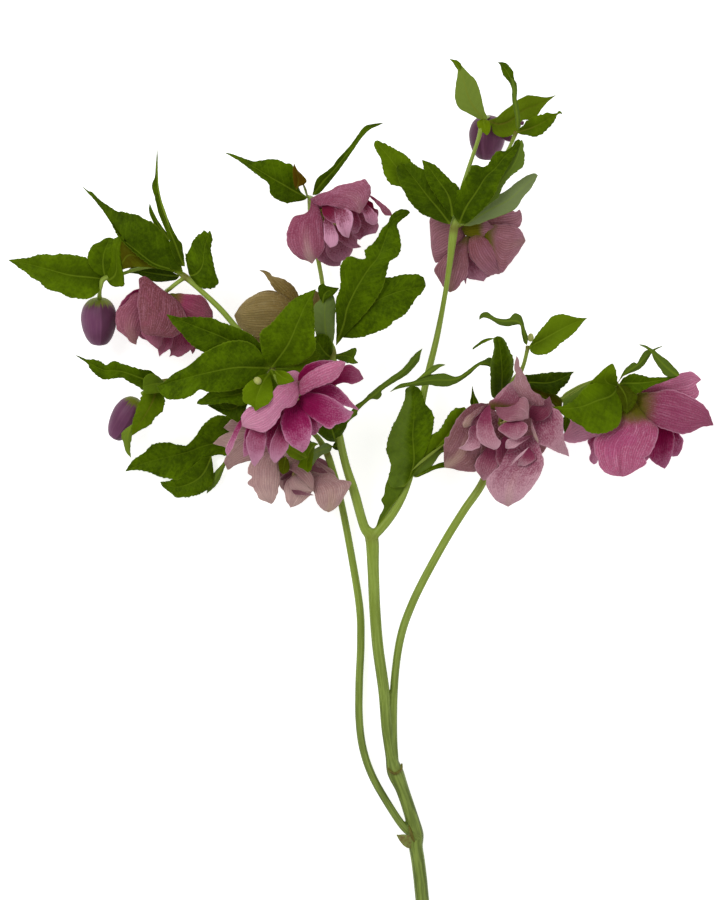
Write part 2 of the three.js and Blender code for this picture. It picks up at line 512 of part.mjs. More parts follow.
function corolla({ centre, mouth, petals }) {
  const [c, m] = [vec(centre), vec(mouth).normalize()];
  const disc = egg(centre, mouth, CORE_RADIUS, CORE_THICK, 8);
  return joined([disc, ...petals.map((one) => petal(c, m, one))]);
}

// The green nectaries and stamens that stand in a bloom's mouth.
function tuft({ centre, mouth }) {
  const m = vec(mouth).normalize();
  const foot = vec(centre).addScaledVector(m, CORE_THICK + GAP + HEART.along);
  const heart = egg(foot.toArray(), mouth, HEART.across, HEART.along, 5);
  const across = LEVEL.clone().cross(m).normalize();
  const stamens = Array.from({ length: STAMENS }, (_, k) => {
    const lean = across.clone().applyAxisAngle(m, (2 * Math.PI * k) / STAMENS);
    const way = m.clone().addScaledVector(lean, STAMEN_LEAN).normalize();
    const top = foot.clone().addScaledVector(way, STAMEN_LENGTH);
    return tube([[...foot, STAMEN_RADII[0]], [...top, STAMEN_RADII[1]]], 4);
  });
  return joined([heart, ...stamens]);
}

const bud = ({ centre, mouth, across, along }) => egg(centre, mouth, across, along, 10);

// A bloom's stalk stops just behind its disc.
function stalk({ centre, mouth, stalk: points }) {
  const behind = (d) => vec(centre).addScaledVector(vec(mouth).normalize(), -d).toArray();
  const end = CORE_THICK + GAP;
  return tube([...points, behind(end + 3), behind(end)].map((p) => [...p, STALK_RADIUS]), TWIG_SIDES);
}

function stem() {
  const runs = stemRuns.map((run, k) => tube(run, k ? TWIG_SIDES : STEM_SIDES));
  const smooth = { ...LEAF_SHAPE, teeth: 0, wave: 0 };
  const sheaths = stemSheaths.map((one) => blade({ ...smooth, ...one }, LOBE_STATIONS, LEAF_COLUMNS));
  return joined([...runs, ...sheaths, ...Object.values(blooms).map(stalk)]);
}

// ---- The spray ----
const COLOURS = {
  stem: 0x8fa84c, leaf: 0x47661a, tuft: 0x98992f, bud: 0x6b4460,
  magenta: 0xb04a88, mauve: 0xa0648a, pale: 0xb8939a, olive: 0x8a7a4c,
};

function mesh(name, solid, colour, roughness) {
  const { vertProperties, triVerts } = solid.getMesh();
  const geometry = new THREE.BufferGeometry();
  geometry.setAttribute("position", new THREE.BufferAttribute(vertProperties, 3));
  geometry.setIndex(new THREE.BufferAttribute(triVerts, 1));
  geometry.computeVertexNormals();
  const material = new THREE.MeshStandardMaterial({ color: colour, roughness, metalness: 0 });
  material.flatShading = true;
  const made = new THREE.Mesh(geometry, material);
  made.name = name;
  return made;
}

const spray = new THREE.Group();
spray.add(mesh("stem", stem(), COLOURS.stem, 0.6));
for (const [name, lobes] of Object.entries(leaves)) spray.add(mesh(name, leaf(lobes), COLOURS.leaf, 0.55));
for (const [name, one] of Object.entries(blooms)) {
  spray.add(mesh(name, corolla(one), COLOURS[one.colour], 0.65));
  spray.add(mesh(`${name}_tuft`, tuft(one), COLOURS.tuft, 0.6));
}
for (const [name, one] of Object.entries(buds)) spray.add(mesh(name, bud(one), COLOURS.bud, 0.6));

export default spray;
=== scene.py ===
"""A cut spray of double hellebore, lying on a pale floor and seen from above. The spray's lengths are in
millimetres until its meshes are made. The floor, the lights and the camera are in metres."""
import math

import bpy
import numpy as np
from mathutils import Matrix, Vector, kdtree, noise


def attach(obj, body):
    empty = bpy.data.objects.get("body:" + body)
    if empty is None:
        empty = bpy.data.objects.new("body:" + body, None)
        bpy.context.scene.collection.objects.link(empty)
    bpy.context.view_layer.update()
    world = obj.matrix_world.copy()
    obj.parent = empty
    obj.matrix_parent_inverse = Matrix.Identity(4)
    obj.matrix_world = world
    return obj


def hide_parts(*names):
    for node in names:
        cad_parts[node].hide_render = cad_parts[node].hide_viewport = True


MM = 0.001
STEP = 0.8  # between the points of a sheet
FLAT = 0.35  # the lowest that the middle of a sheet lies
SUBSTEPS = 32  # of a curve, between two of its points
UP = (0.0, 0.0, 1.0)
DOWN = (0.0, 0.0, -1.0)

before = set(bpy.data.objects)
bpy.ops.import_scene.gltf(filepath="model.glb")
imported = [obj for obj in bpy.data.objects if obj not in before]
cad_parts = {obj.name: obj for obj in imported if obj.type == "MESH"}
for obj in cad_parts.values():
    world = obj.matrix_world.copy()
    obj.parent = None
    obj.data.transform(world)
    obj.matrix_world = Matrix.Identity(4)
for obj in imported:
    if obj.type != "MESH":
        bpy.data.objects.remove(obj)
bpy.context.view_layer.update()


# ---- Curves ----
def spline(points, count):
    """Points spread evenly along a smooth curve through the given ones, and its length."""
    p = np.array(points, float)
    ends = np.vstack([2 * p[0] - p[1], p, 2 * p[-1] - p[-2]])
    t = np.linspace(0, 1, SUBSTEPS + 1)[:-1, None]
    runs = []
    for k in range(len(p) - 1):
        a, b, c, d = ends[k : k + 4]
        m, n = (c - a) / 2, (d - b) / 2
        runs.append((2 * t**3 - 3 * t**2 + 1) * b + (t**3 - 2 * t**2 + t) * m
                    + (3 * t**2 - 2 * t**3) * c + (t**3 - t**2) * n)
    dense = np.vstack(runs + [p[-1:]])
    gaps = np.linalg.norm(np.diff(dense[:, :3], axis=0), axis=1)
    s = np.concatenate([[0], np.cumsum(gaps)])
    at = np.linspace(0, s[-1], count + 1)
    return np.column_stack([np.interp(at, s, dense[:, i]) for i in range(p.shape[1])]), s[-1]


def length_of(points):
    return spline(points, 1)[1]


def unit(v):
    return v / np.maximum(np.linalg.norm(v, axis=-1, keepdims=True), 1e-9)


def frames(path, up):
    """Tangents along a path and normals that don't turn about it."""
    tangents = unit(np.gradient(path, axis=0))
    normals = np.zeros_like(path)
    normal = np.array(up, float)
    for k, tangent in enumerate(tangents):
        normal = unit(normal - tangent * normal.dot(tangent))
        normals[k] = normal
    return tangents, normals


def eased(values, t):
    """A smooth line through values that stand evenly from 0 to 1."""
    v = np.array(values, float)
    v = np.concatenate([[2 * v[0] - v[1]], v, [2 * v[-1] - v[-2]]])
    at = np.clip(t, 0, 1) * (len(values) - 1)
    k = np.minimum(at.astype(int), len(values) - 2)
    f = at - k
    a, b, c, d = v[k], v[k + 1], v[k + 2], v[k + 3]
    return b + f * ((c - a) / 2 + f * (a - 2.5 * b + 2 * c - d / 2 + f * (1.5 * (b - c) + (d - a) / 2)))


def smoothed(values, passes=40):
    """Values along the rows with their ripples taken out and both ends kept."""
    values = values.copy()
    for _ in range(passes):
        values[1:-1] = (values[:-2] + 2 * values[1:-1] + values[2:]) / 4
    return values


def noisy(x, y, z):
    """Smooth noise at the places that three arrays or numbers give together."""
    places = np.stack(np.broadcast_arrays(x, y, z), axis=-1).astype(float)
    values = [noise.noise(Vector(place)) for place in places.reshape(-1, 3).tolist()]
    return np.array(values).reshape(places.shape[:-1])


def across_axes(way, hint):
    """The direction of a way, and two directions across it."""
    way = unit(np.array(way, float))
    first = unit(np.cross(way, hint))
    return way, first, np.cross(way, first)


# ---- Meshes ----
LAYERS = ("flat", "place", "tint", "marks")


def noted(shape, *values):
    """Three notes at every point of a grid."""
    return np.stack([np.broadcast_to(value, shape) for value in values], axis=-1)


class Mesh:
    """Gathers surfaces with four notes at every point. flat is (mm along, mm across, seed), and place is
    (share along, share across, 1 on the inner or upper face). tint and marks hold a sheet's or bud's
    options."""

    def __init__(self):
        self.points, self.faces, self.skins, self.count = [], [], [], 0
        self.notes = {key: [] for key in LAYERS}

    def add(self, points, faces, skin, **notes):
        points = points.reshape(-1, 3)
        self.points.append(points)
        for key in LAYERS:
            self.notes[key].append(np.zeros_like(points) + np.array(notes.get(key, 0)))
        self.faces.extend([tuple(i + self.count for i in face) for face in faces])
        self.skins.extend([skin] * len(faces))
        self.count += len(points)

    def build(self, name, materials, replaces):
        data = bpy.data.meshes.new(name)
        data.from_pydata((np.vstack(self.points) * MM).tolist(), [], self.faces)
        notes = {key: np.vstack(self.notes[key]) for key in LAYERS}
        finish_mesh(data, notes, materials, self.skins, replaces)


def linked(name, data):
    made = bpy.data.objects.new(name, data)
    bpy.context.scene.collection.objects.link(made)
    return made


def finish_mesh(data, notes, materials, skins, replaces):
    """Gives a mesh its notes and materials, and stands it in the scene as a piece with the mesh's name."""
    for key, values in notes.items():
        layer = data.attributes.new(key, "FLOAT_VECTOR", "POINT")
        layer.data.foreach_set("vector", values.astype(np.float32).ravel())
    for material in materials:
        data.materials.append(material)
    data.polygons.foreach_set("material_index", skins)
    data.polygons.foreach_set("use_smooth", [True] * len(data.polygons))
    data.update()
    piece = linked(data.name, data)
    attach(piece, "root")
    if replaces:
        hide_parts(replaces)


def sheet(mesh, grid, flat, place, thick, tint=(0, 0, 0), marks=0):
    """A grid of points as a sheet with a rim all round. Its upper face looks along across x along."""
    rows, columns = grid.shape[:2]
    normal = unit(np.cross(np.gradient(grid, axis=1), np.gradient(grid, axis=0))) * thick[..., None] / 2
    n = rows * columns
    points = np.concatenate([(grid + normal).reshape(-1, 3), (grid - normal).reshape(-1, 3)])
    flat = np.concatenate([flat.reshape(-1, 3)] * 2)
    place = np.concatenate([place.reshape(-1, 3), (place * (1, 1, 0)).reshape(-1, 3)])
    if np.ndim(marks):
        marks = np.concatenate([marks.reshape(-1, 3)] * 2)
    i, j = np.meshgrid(np.arange(rows - 1), np.arange(columns - 1), indexing="ij")
    a = (i * columns + j).ravel()
    quads = np.column_stack([a, a + 1, a + 1 + columns, a + columns])
    faces = quads.tolist() + (quads[:, ::-1] + n).tolist()
    left = np.arange(rows) * columns
    right = left + columns - 1
    low = np.arange(columns)
    top = low + (rows - 1) * columns
    for edge in (left[::-1], right, low, top[::-1]):
        faces += [(b, c, c + n, b + n)[::-1] for b, c in zip(edge[:-1].tolist(), edge[1:].tolist())]
    mesh.add(points, faces, 0, flat=flat, place=place, tint=tint, marks=marks)


# ---- Blades: sheets on a rib, for the petals that other petals hide and for a sheath. fold lifts both halves
# and cup their margins, in degrees from base to tip ----
PETAL = dict(widest=0.6, roundness=0.5, claw=2.4, fold=(0, 0), cup=(34, 22), wave=0.5)
SHEATH = dict(up=UP, widest=0.4, roundness=0.75, claw=0.9, fold=(18, 6), cup=(0, 0), wave=0.2)
BLADE_COLUMNS = 18
BLADE_END = 0.995  # of the rib, where a blade's last row stands
BLADE_THICK, BLADE_RIM = 0.42, 0.22
RAGGED, RAGGED_SCALE = 0.35, 4.0
CRUMPLE, CRUMPLE_SCALE = 0.5, 9.0
GROOVE, GROOVE_WIDTH = 0.12, 0.8
RIB_WIDTH = 0.7
LEAST_HALF = 0.12  # of a blade's width


def blade(mesh, o, seed):
    rows = max(20, int(length_of(o["rib"]) / STEP))
    path, length = spline(o["rib"], rows)
    tangents, normals = frames(path, o["up"])
    sides = np.cross(tangents, normals)
    t = np.linspace(0, BLADE_END, rows + 1)[:, None]
    u = np.linspace(-1, 1, BLADE_COLUMNS + 1)[None, :]
    s, edge = t * length, np.abs(u)
    widest = o["widest"]
    taper = ((1 - t) / (1 - widest)) ** (o["roundness"] * (1 - widest) / widest)
    half = np.where(u < 0, o["left"], o["right"]) * ((t / widest) ** o["roundness"] * taper)
    bite = RAGGED * noisy(s / RAGGED_SCALE, np.where(u < 0, 11.0, 22.0) / RAGGED_SCALE, seed * 7.31)
    half = np.maximum(half + bite * np.minimum(1, half / 2.5), LEAST_HALF)
    out = u * np.maximum(o["claw"] * (1 - t), half)
    fold, cup = (first + (last - first) * t for first, last in (o["fold"], o["cup"]))
    bend = np.radians(fold + cup * edge / 2)
    wave = o["wave"] * edge**2 * np.sin(3.2 * np.pi * t + np.where(u < 0, 2.0, 0.0) + seed)
    rumple = CRUMPLE * noisy(s / CRUMPLE_SCALE, out / CRUMPLE_SCALE, (seed + 3) * 7.31)
    rumple = rumple * np.minimum(1, np.abs(out) / 3)
    lift = np.abs(out) * np.sin(bend) + wave + rumple - GROOVE * np.exp(-((out / GROOVE_WIDTH) ** 2))
    grid = (path[:, None, :] + sides[:, None, :] * (out * np.cos(bend))[..., None]
            + normals[:, None, :] * lift[..., None])
    grid[..., 2] = np.maximum(grid[..., 2], FLAT)
    rib = GROOVE * 2.2 * np.exp(-((out / RIB_WIDTH) ** 2)) * (1 - t)
    thick = BLADE_RIM + (BLADE_THICK - BLADE_RIM) * (1 - edge**4) + rib
    sheet(mesh, grid, noted(out.shape, s, out, seed + 0.5), noted(out.shape, t, u, 1.0), thick)


# ---- Traced sheets: leaves' lobes and petals with the outline that they show from above. tint and marks name
# the options that they carry to the materials, and a petal's last mark is the fan of its veins ----
# a sheet's light option is painted light and shade: it makes the whole sheet lighter or darker for how the
# light falls on it
TRACED = {
    "petal": dict(light=0, deep=0, green=0, strip=0, speckle=0, crease=0, pleat=0.935, ruffle=0.9, jag=0.45,
                  teeth=0, quilt=0, groove=0, middle=None, curve=2, thick=0.42,
                  tint=("light", "deep", "green"), marks=("strip", "speckle")),
    "leaf": dict(light=0, brown=0, grey=0, rim=0, wing=0, stalk=0, crease=0, pleat=0.85, ruffle=0.5, jag=0.22,
                 teeth=0.6, quilt=0.3, groove=0.45, middle=None, curve=1.2, thick=0.5,
                 tint=("light", "brown", "grey"), marks=("rim", "wing", "stalk")),
}
EDGE_THICK = 0.16
CREASE, CREASE_OFF, CREASE_WIDTH = 1.6, 1.0, 0.9  # how deep, how far from the midrib, how wide
TOOTH = 2.5  # between teeth
ROUGH_SCALE, DRIFT_SCALE = 2.2, 7.0  # of the unevenness of a margin
FOLD_SCALE, RUFFLE_SCALE = 9, 5  # of the folds of a sheet, and of the ruffles along its margins
VEIN_STEP, VEIN_LEAN = 4.5, 1.1  # between a leaf's side veins, and how they lean to its tip


def toothed(side, away, width, o, seed):
    """A margin with small teeth that point to the tip, and an uneven line."""
    steps = np.linalg.norm(np.diff(side, axis=0), axis=1)
    s = np.concatenate([[0], np.cumsum(steps)])
    rough = noisy(s / ROUGH_SCALE, seed, seed * 5.3)
    drift = noisy(s / DRIFT_SCALE, seed + 9, seed * 2.1)
    saw = (s / TOOTH + 1.3 * drift) % 1.0
    size = np.clip(0.75 + 0.9 * drift, 0.2, 1.3) * np.minimum(1, width / 7) * np.minimum(1, s / (0.3 * s[-1]))
    reach = o["jag"] * rough * np.minimum(1, width / 4) + o["teeth"] * (saw**1.5 - 0.45) * size
    return side + away * reach[:, None]


def traced(mesh, kind, shape, seed):
    face, base, tip, margin, other, heights, bend, options = shape
    o = dict(TRACED[kind], **options)
    margins = [[base, *points, tip] for points in (margin, other)]
    longest = max(length_of(points) for points in margins)
    rows = max(14, int(longest / STEP))
    left, right = (spline(points, rows)[0] for points in margins)
    along = np.gradient((left + right) / 2, axis=0)
    apart = right - left
    if np.sum(along[:, 0] * apart[:, 1] - along[:, 1] * apart[:, 0]) > 0:
        left, right, apart = right, left, -apart
    width = np.linalg.norm(apart, axis=1)
    widest = width.max()
    middle = smoothed((left + right) / 2)
    left = toothed(left, -unit(apart), width, o, seed + 3.0)
    right = toothed(right, unit(apart), width, o, seed + 9.0)
    if o["middle"]:
        middle = spline([base, *o["middle"], tip], rows)[0]
    t = np.linspace(0, 1, rows + 1)[:, None]
    u = np.linspace(-1, 1, int(np.clip(widest / STEP, 8, 32)) + 1)[None, :]
    edge = np.abs(u)
    side = np.where((u < 0)[..., None], left[:, None, :], right[:, None, :])
    level = middle[:, None, :] * (1 - edge)[..., None] + side * edge[..., None]
    size = (width / widest)[:, None]
    across = np.linalg.norm(level - middle[:, None, :], axis=2) * np.sign(u)
    s = t * longest
    out = 1 if face == "out" else -1
    lift = -out * bend * edge ** o["curve"] * size
    folds = noisy(u * widest / FOLD_SCALE, t * 1.3, seed * 3.7)
    lift += o["pleat"] * folds * size * np.minimum(1, t * 4)
    waves = noisy(s / RUFFLE_SCALE, u * 1.6, seed * 2.9 + 40)
    lift += o["ruffle"] * waves * edge**2 * size
    crease = CREASE * np.exp(-(((across - CREASE_OFF) / CREASE_WIDTH) ** 2))
    lift -= o["crease"] * crease * np.clip(t * 2 - 0.7, 0, 1)
    # between its side veins a leaf swells, and along its midrib it sinks
    swell = np.abs(np.sin(np.pi * (s - np.abs(across) * VEIN_LEAN) / VEIN_STEP))
    room = np.minimum(1, np.abs(across) / 2.5) * np.minimum(1, (1 - edge) * 4)
    lift -= out * (o["quilt"] * swell * room - o["groove"] * np.exp(-((across / GROOVE_WIDTH) ** 2)) * size)
    z = eased(heights, t) + lift
    marks = [o[key] for key in o["marks"]]
    if kind == "petal":
        marks.append(across / np.maximum(smoothed(size), 0.25))
    thick = EDGE_THICK + (o["thick"] - EDGE_THICK) * (1 - edge**4) + 0 * across
    notes = [noted(across.shape, *values) for values in ((s, across, seed + 0.5), (t, u, 1.0), marks)]
    surface = [np.dstack([level, np.maximum(z, FLAT)]), *notes, thick]
    if face == "out":
        surface = [values[:, ::-1] for values in surface]
    grid, flat, place, marks, thick = surface
    sheet(mesh, grid, flat, place, thick, [o[key] for key in o["tint"]], marks)


# ---- Round forms ----
def ring_faces(rows, sides):
    """The quads between rings of points."""
    quads = []
    for i in range(rows - 1):
        for j in range(sides):
            k = (j + 1) % sides
            quads.append((i * sides + j, i * sides + k, (i + 1) * sides + k, (i + 1) * sides + j))
    return quads


def tube(mesh, points, sides, step, seed, skin=0):
    """A round tube through points (x, y, z, radius), closed by fans."""
    path, length = spline(points, max(3, int(length_of(points) / step)))
    tangents, normals = frames(path[:, :3], UP)
    binormals = np.cross(tangents, normals)
    a = np.linspace(0, 2 * np.pi, sides, endpoint=False)
    ring = np.cos(a)[None, :, None] * normals[:, None, :] + np.sin(a)[None, :, None] * binormals[:, None, :]
    grid = path[:, None, :3] + ring * path[:, 3][:, None, None]
    rows = len(path)
    s = np.linspace(0, length, rows)[:, None]
    flat = noted((rows, sides), s, a, seed)
    place = noted((rows, sides), s / length, a / np.pi - 1, 1.0)
    faces = [quad[:1] + quad[:0:-1] for quad in ring_faces(rows, sides)]
    first, last = rows * sides, rows * sides + 1
    for j in range(sides):
        k = (j + 1) % sides
        faces.append((first, j, k))
        faces.append((last, (rows - 1) * sides + k, (rows - 1) * sides + j))
    ends = np.array([path[0, :3], path[-1, :3]])
    points = np.concatenate([grid.reshape(-1, 3), ends])
    flat, place = (np.concatenate([v.reshape(-1, 3), v[[0, -1], 0]]) for v in (flat, place))
    mesh.add(points, faces, skin, flat=flat, place=place)


def turned_form(mesh, centre, axis, profile, sides, seed, skin=0, swell=None, shade=None, cap=0.0):
    """A form turned about an axis: profile is (distance along the axis, radius) from base to tip."""
    axis, first, second = across_axes(axis, (0.3, 0.2, 1.0))
    a = np.linspace(0, 2 * np.pi, sides, endpoint=False)
    at, radius = np.array(profile, float).T[:, :, None]
    widest, rows = radius.max(), len(radius)
    radius = radius * (swell(at, a[None, :]) if swell else np.ones((1, sides)))
    grid = (np.array(centre, float) + axis * at[..., None]
            + first * (np.cos(a) * radius)[..., None] + second * (np.sin(a) * radius)[..., None])
    s = at - at[0]
    faces = ring_faces(rows, sides)
    faces.append(tuple(range(sides))[::-1])
    faces.append(tuple((rows - 1) * sides + j for j in range(sides)))
    tint = (shade(a) if shade else 0, cap, 0)
    notes = dict(flat=(s, a * widest, seed), place=(s / s[-1], a / np.pi - 1, 0.0), tint=tint)
    notes = {key: noted((rows, sides), *values).reshape(-1, 3) for key, values in notes.items()}
    mesh.add(grid, faces, skin, **notes)


# ---- Materials ----
class Shader:
    """A node material on one Principled shader, with short calls for the nodes it uses."""

    def __init__(self, name, roughness, specular, sheen=0.0):
        self.material = bpy.data.materials.new(name)
        self.material.use_nodes = True
        self.tree = self.material.node_tree
        self.tree.nodes.clear()
        out = self.tree.nodes.new("ShaderNodeOutputMaterial")
        self.main = self.tree.nodes.new("ShaderNodeBsdfPrincipled")
        self.main.inputs["Roughness"].default_value = roughness
        self.main.inputs["Specular IOR Level"].default_value = specular
        self.main.inputs["Sheen Weight"].default_value = sheen
        self.tree.links.new(self.main.outputs[0], out.inputs[0])

    def put(self, socket, value):
        if hasattr(value, "is_output"):
            self.tree.links.new(value, socket)
        else:
            socket.default_value = value

    def made(self, kind, inputs, **settings):
        """A new node. inputs gives values or sockets by name or by number, and settings its own values."""
        node = self.tree.nodes.new("ShaderNode" + kind)
        for key, value in settings.items():
            setattr(node, key, value)
        for key, value in inputs.items():
            self.put(node.inputs[key], value)
        return node

    def math(self, operation, *values):
        return self.made("Math", dict(enumerate(values)), operation=operation).outputs[0]

    def times(self, a, b):
        return self.math("MULTIPLY", a, b)

    def size(self, value):
        return self.math("ABSOLUTE", value)

    def positive(self, value):
        return self.math("MAXIMUM", value, 0.0)

    def negative(self, value):
        return self.positive(self.times(value, -1.0))

    def range(self, value, low, high, to_low=0.0, to_high=1.0):
        inputs = dict(enumerate((value, low, high, to_low, to_high)))
        return self.made("MapRange", inputs, interpolation_type="SMOOTHSTEP").outputs[0]

    def note(self, layer):
        """A mesh's notes on one of its layers."""
        return self.made("Attribute", {}, attribute_name=layer).outputs["Vector"]

    def split(self, vector):
        return self.made("SeparateXYZ", {0: vector}).outputs

    def mix(self, share, a, b):
        return self.made("Mix", {0: share, 6: a, 7: b}, data_type="RGBA").outputs[2]

    def vector(self, x, y, z):
        return self.made("CombineXYZ", {0: x, 1: y, 2: z}).outputs[0]

    def noise(self, vector, scale, detail=2.0, roughness=0.5):
        inputs = dict(Vector=vector, Scale=scale, Detail=detail, Roughness=roughness)
        return self.made("TexNoise", inputs).outputs[0]

    def streaks(self, along, s, across, x, seed, detail=3.0, roughness=0.6):
        """Noise that runs along a piece: along and across say how fast it changes over s and x."""
        vector = self.vector(self.times(s, along), self.times(x, across), seed)
        return self.noise(vector, 1.0, detail, roughness)

    def lines(self, value, width):
        """A thin line wherever a value passes the middle between two whole numbers."""
        near = self.size(self.math("SUBTRACT", self.math("FRACT", value), 0.5))
        return self.range(near, 0.0, width, 1.0, 0.0)

    def finish(self, colour, height, distance, strength):
        bump = self.made("Bump", dict(Strength=strength, Distance=distance, Height=height))
        self.put(self.main.inputs["Base Color"], colour)
        self.put(self.main.inputs["Normal"], bump.outputs[0])
        return self.material


def rgb(*colour):
    """An sRGB colour of 0 to 255 as linear light."""
    linear = [v / 255 / 12.92 if v < 10.3 else ((v / 255 + 0.055) / 1.055) ** 2.4 for v in colour]
    return (*linear, 1.0)


def inner_share(m, face):
    """1 on the inner or upper face and 0 on the other."""
    return m.range(face, 0.25, 0.5)


# the two colours after vein are painted light and painted shade, then come the leaves' own brown, stalk,
# silver and red
def leaf_material(deep, light, under, vein, painted_light, dark, brown, stalk_colour, silver, red):
    m = Shader("leaf_skin", roughness=0.55, specular=0.03)
    flat = m.note("flat")
    s, x, _ = m.split(flat)
    t, u, face = m.split(m.note("place"))
    lightness, brownness, grey = m.split(m.note("tint"))
    rims, wing, stalk = m.split(m.note("marks"))
    blotch = m.noise(flat, 0.11, 3.0)
    fine = m.noise(flat, 0.55, 4.0, 0.62)
    wander = m.math("MULTIPLY_ADD", m.noise(flat, 0.22), 3.0, -1.5)
    reach = m.size(x)
    # side veins lean to the tip, and a net of finer ones lies between them
    phase = m.math("DIVIDE", m.math("ADD", m.math("MULTIPLY_ADD", reach, -VEIN_LEAN, s), wander), VEIN_STEP)
    side_vein = m.times(m.lines(phase, 0.12), m.range(blotch, 0.35, 0.6, 0.05, 0.26))
    net = m.made("TexVoronoi", dict(Vector=flat, Scale=0.75), feature="DISTANCE_TO_EDGE").outputs[0]
    net_vein = m.times(m.range(net, 0.0, 0.10, 1.0, 0.0), 0.14)
    mid_vein = m.range(reach, 0.1, m.range(t, 0.0, 0.9, 0.95, 0.3), 1.0, 0.0)
    mid_vein = m.times(mid_vein, m.range(t, 0.0, 0.9, 1.0, 0.45))
    veins = m.math("MAXIMUM", m.math("MAXIMUM", side_vein, net_vein), mid_vein)
    # the upper face
    tone = m.range(m.math("MULTIPLY_ADD", fine, 0.7, m.times(blotch, 0.8)), 0.52, 0.98)
    top = m.mix(tone, deep, light)
    # painted light and shade: a lobe's light option makes its upper face lighter or darker, and a painted
    # shadow darkens it near its midrib and its base
    top = m.mix(m.positive(lightness), top, painted_light)
    top = m.mix(m.negative(lightness), top, dark)
    shadow = m.times(m.range(reach, 0.5, 7.0, 0.5, 0.0), m.range(t, 0.0, 0.7, 1.0, 0.2))
    top = m.mix(m.times(shadow, m.range(fine, 0.35, 0.6, 0.5, 1.0)), top, dark)
    top = m.mix(brownness, top, brown)
    low = m.mix(m.times(fine, 0.5), under, light)
    wing_share = m.times(m.range(u, -0.45, -0.1, 1.0, 0.0), wing)
    rim_share = m.times(m.times(m.range(m.size(u), 0.55, 0.9), rims), 0.7)
    greyness = m.math("MAXIMUM", m.math("MAXIMUM", grey, wing_share), rim_share)
    top = m.mix(m.times(greyness, m.range(blotch, 0.3, 0.6, 0.6, 1.0)), top, low)
    # the underside
    low = m.mix(m.negative(grey), low, deep)
    low = m.mix(m.positive(grey), low, silver)
    # painted light on the underside too, where a lobe's light option is above 0
    low = m.mix(m.positive(lightness), low, vein)
    # both faces
    colour = m.mix(inner_share(m, face), low, top)
    rib = m.mix(m.positive(m.times(stalk, -0.8)), vein, red)
    colour = m.mix(m.times(veins, m.math("MULTIPLY_ADD", brownness, -0.25, 0.42)), colour, rib)
    colour = m.mix(m.times(m.range(m.size(u), 0.94, 1.0), 0.35), colour, vein)
    colour = m.mix(m.range(t, 0.0, 0.08, 0.4, 0.0), colour, vein)
    colour = m.mix(m.positive(m.times(stalk, 0.8)), colour, stalk_colour)
    height = m.math("SUBTRACT", m.times(fine, 0.35), m.times(veins, 0.7))
    return m.finish(colour, height, 0.0003, 0.6)


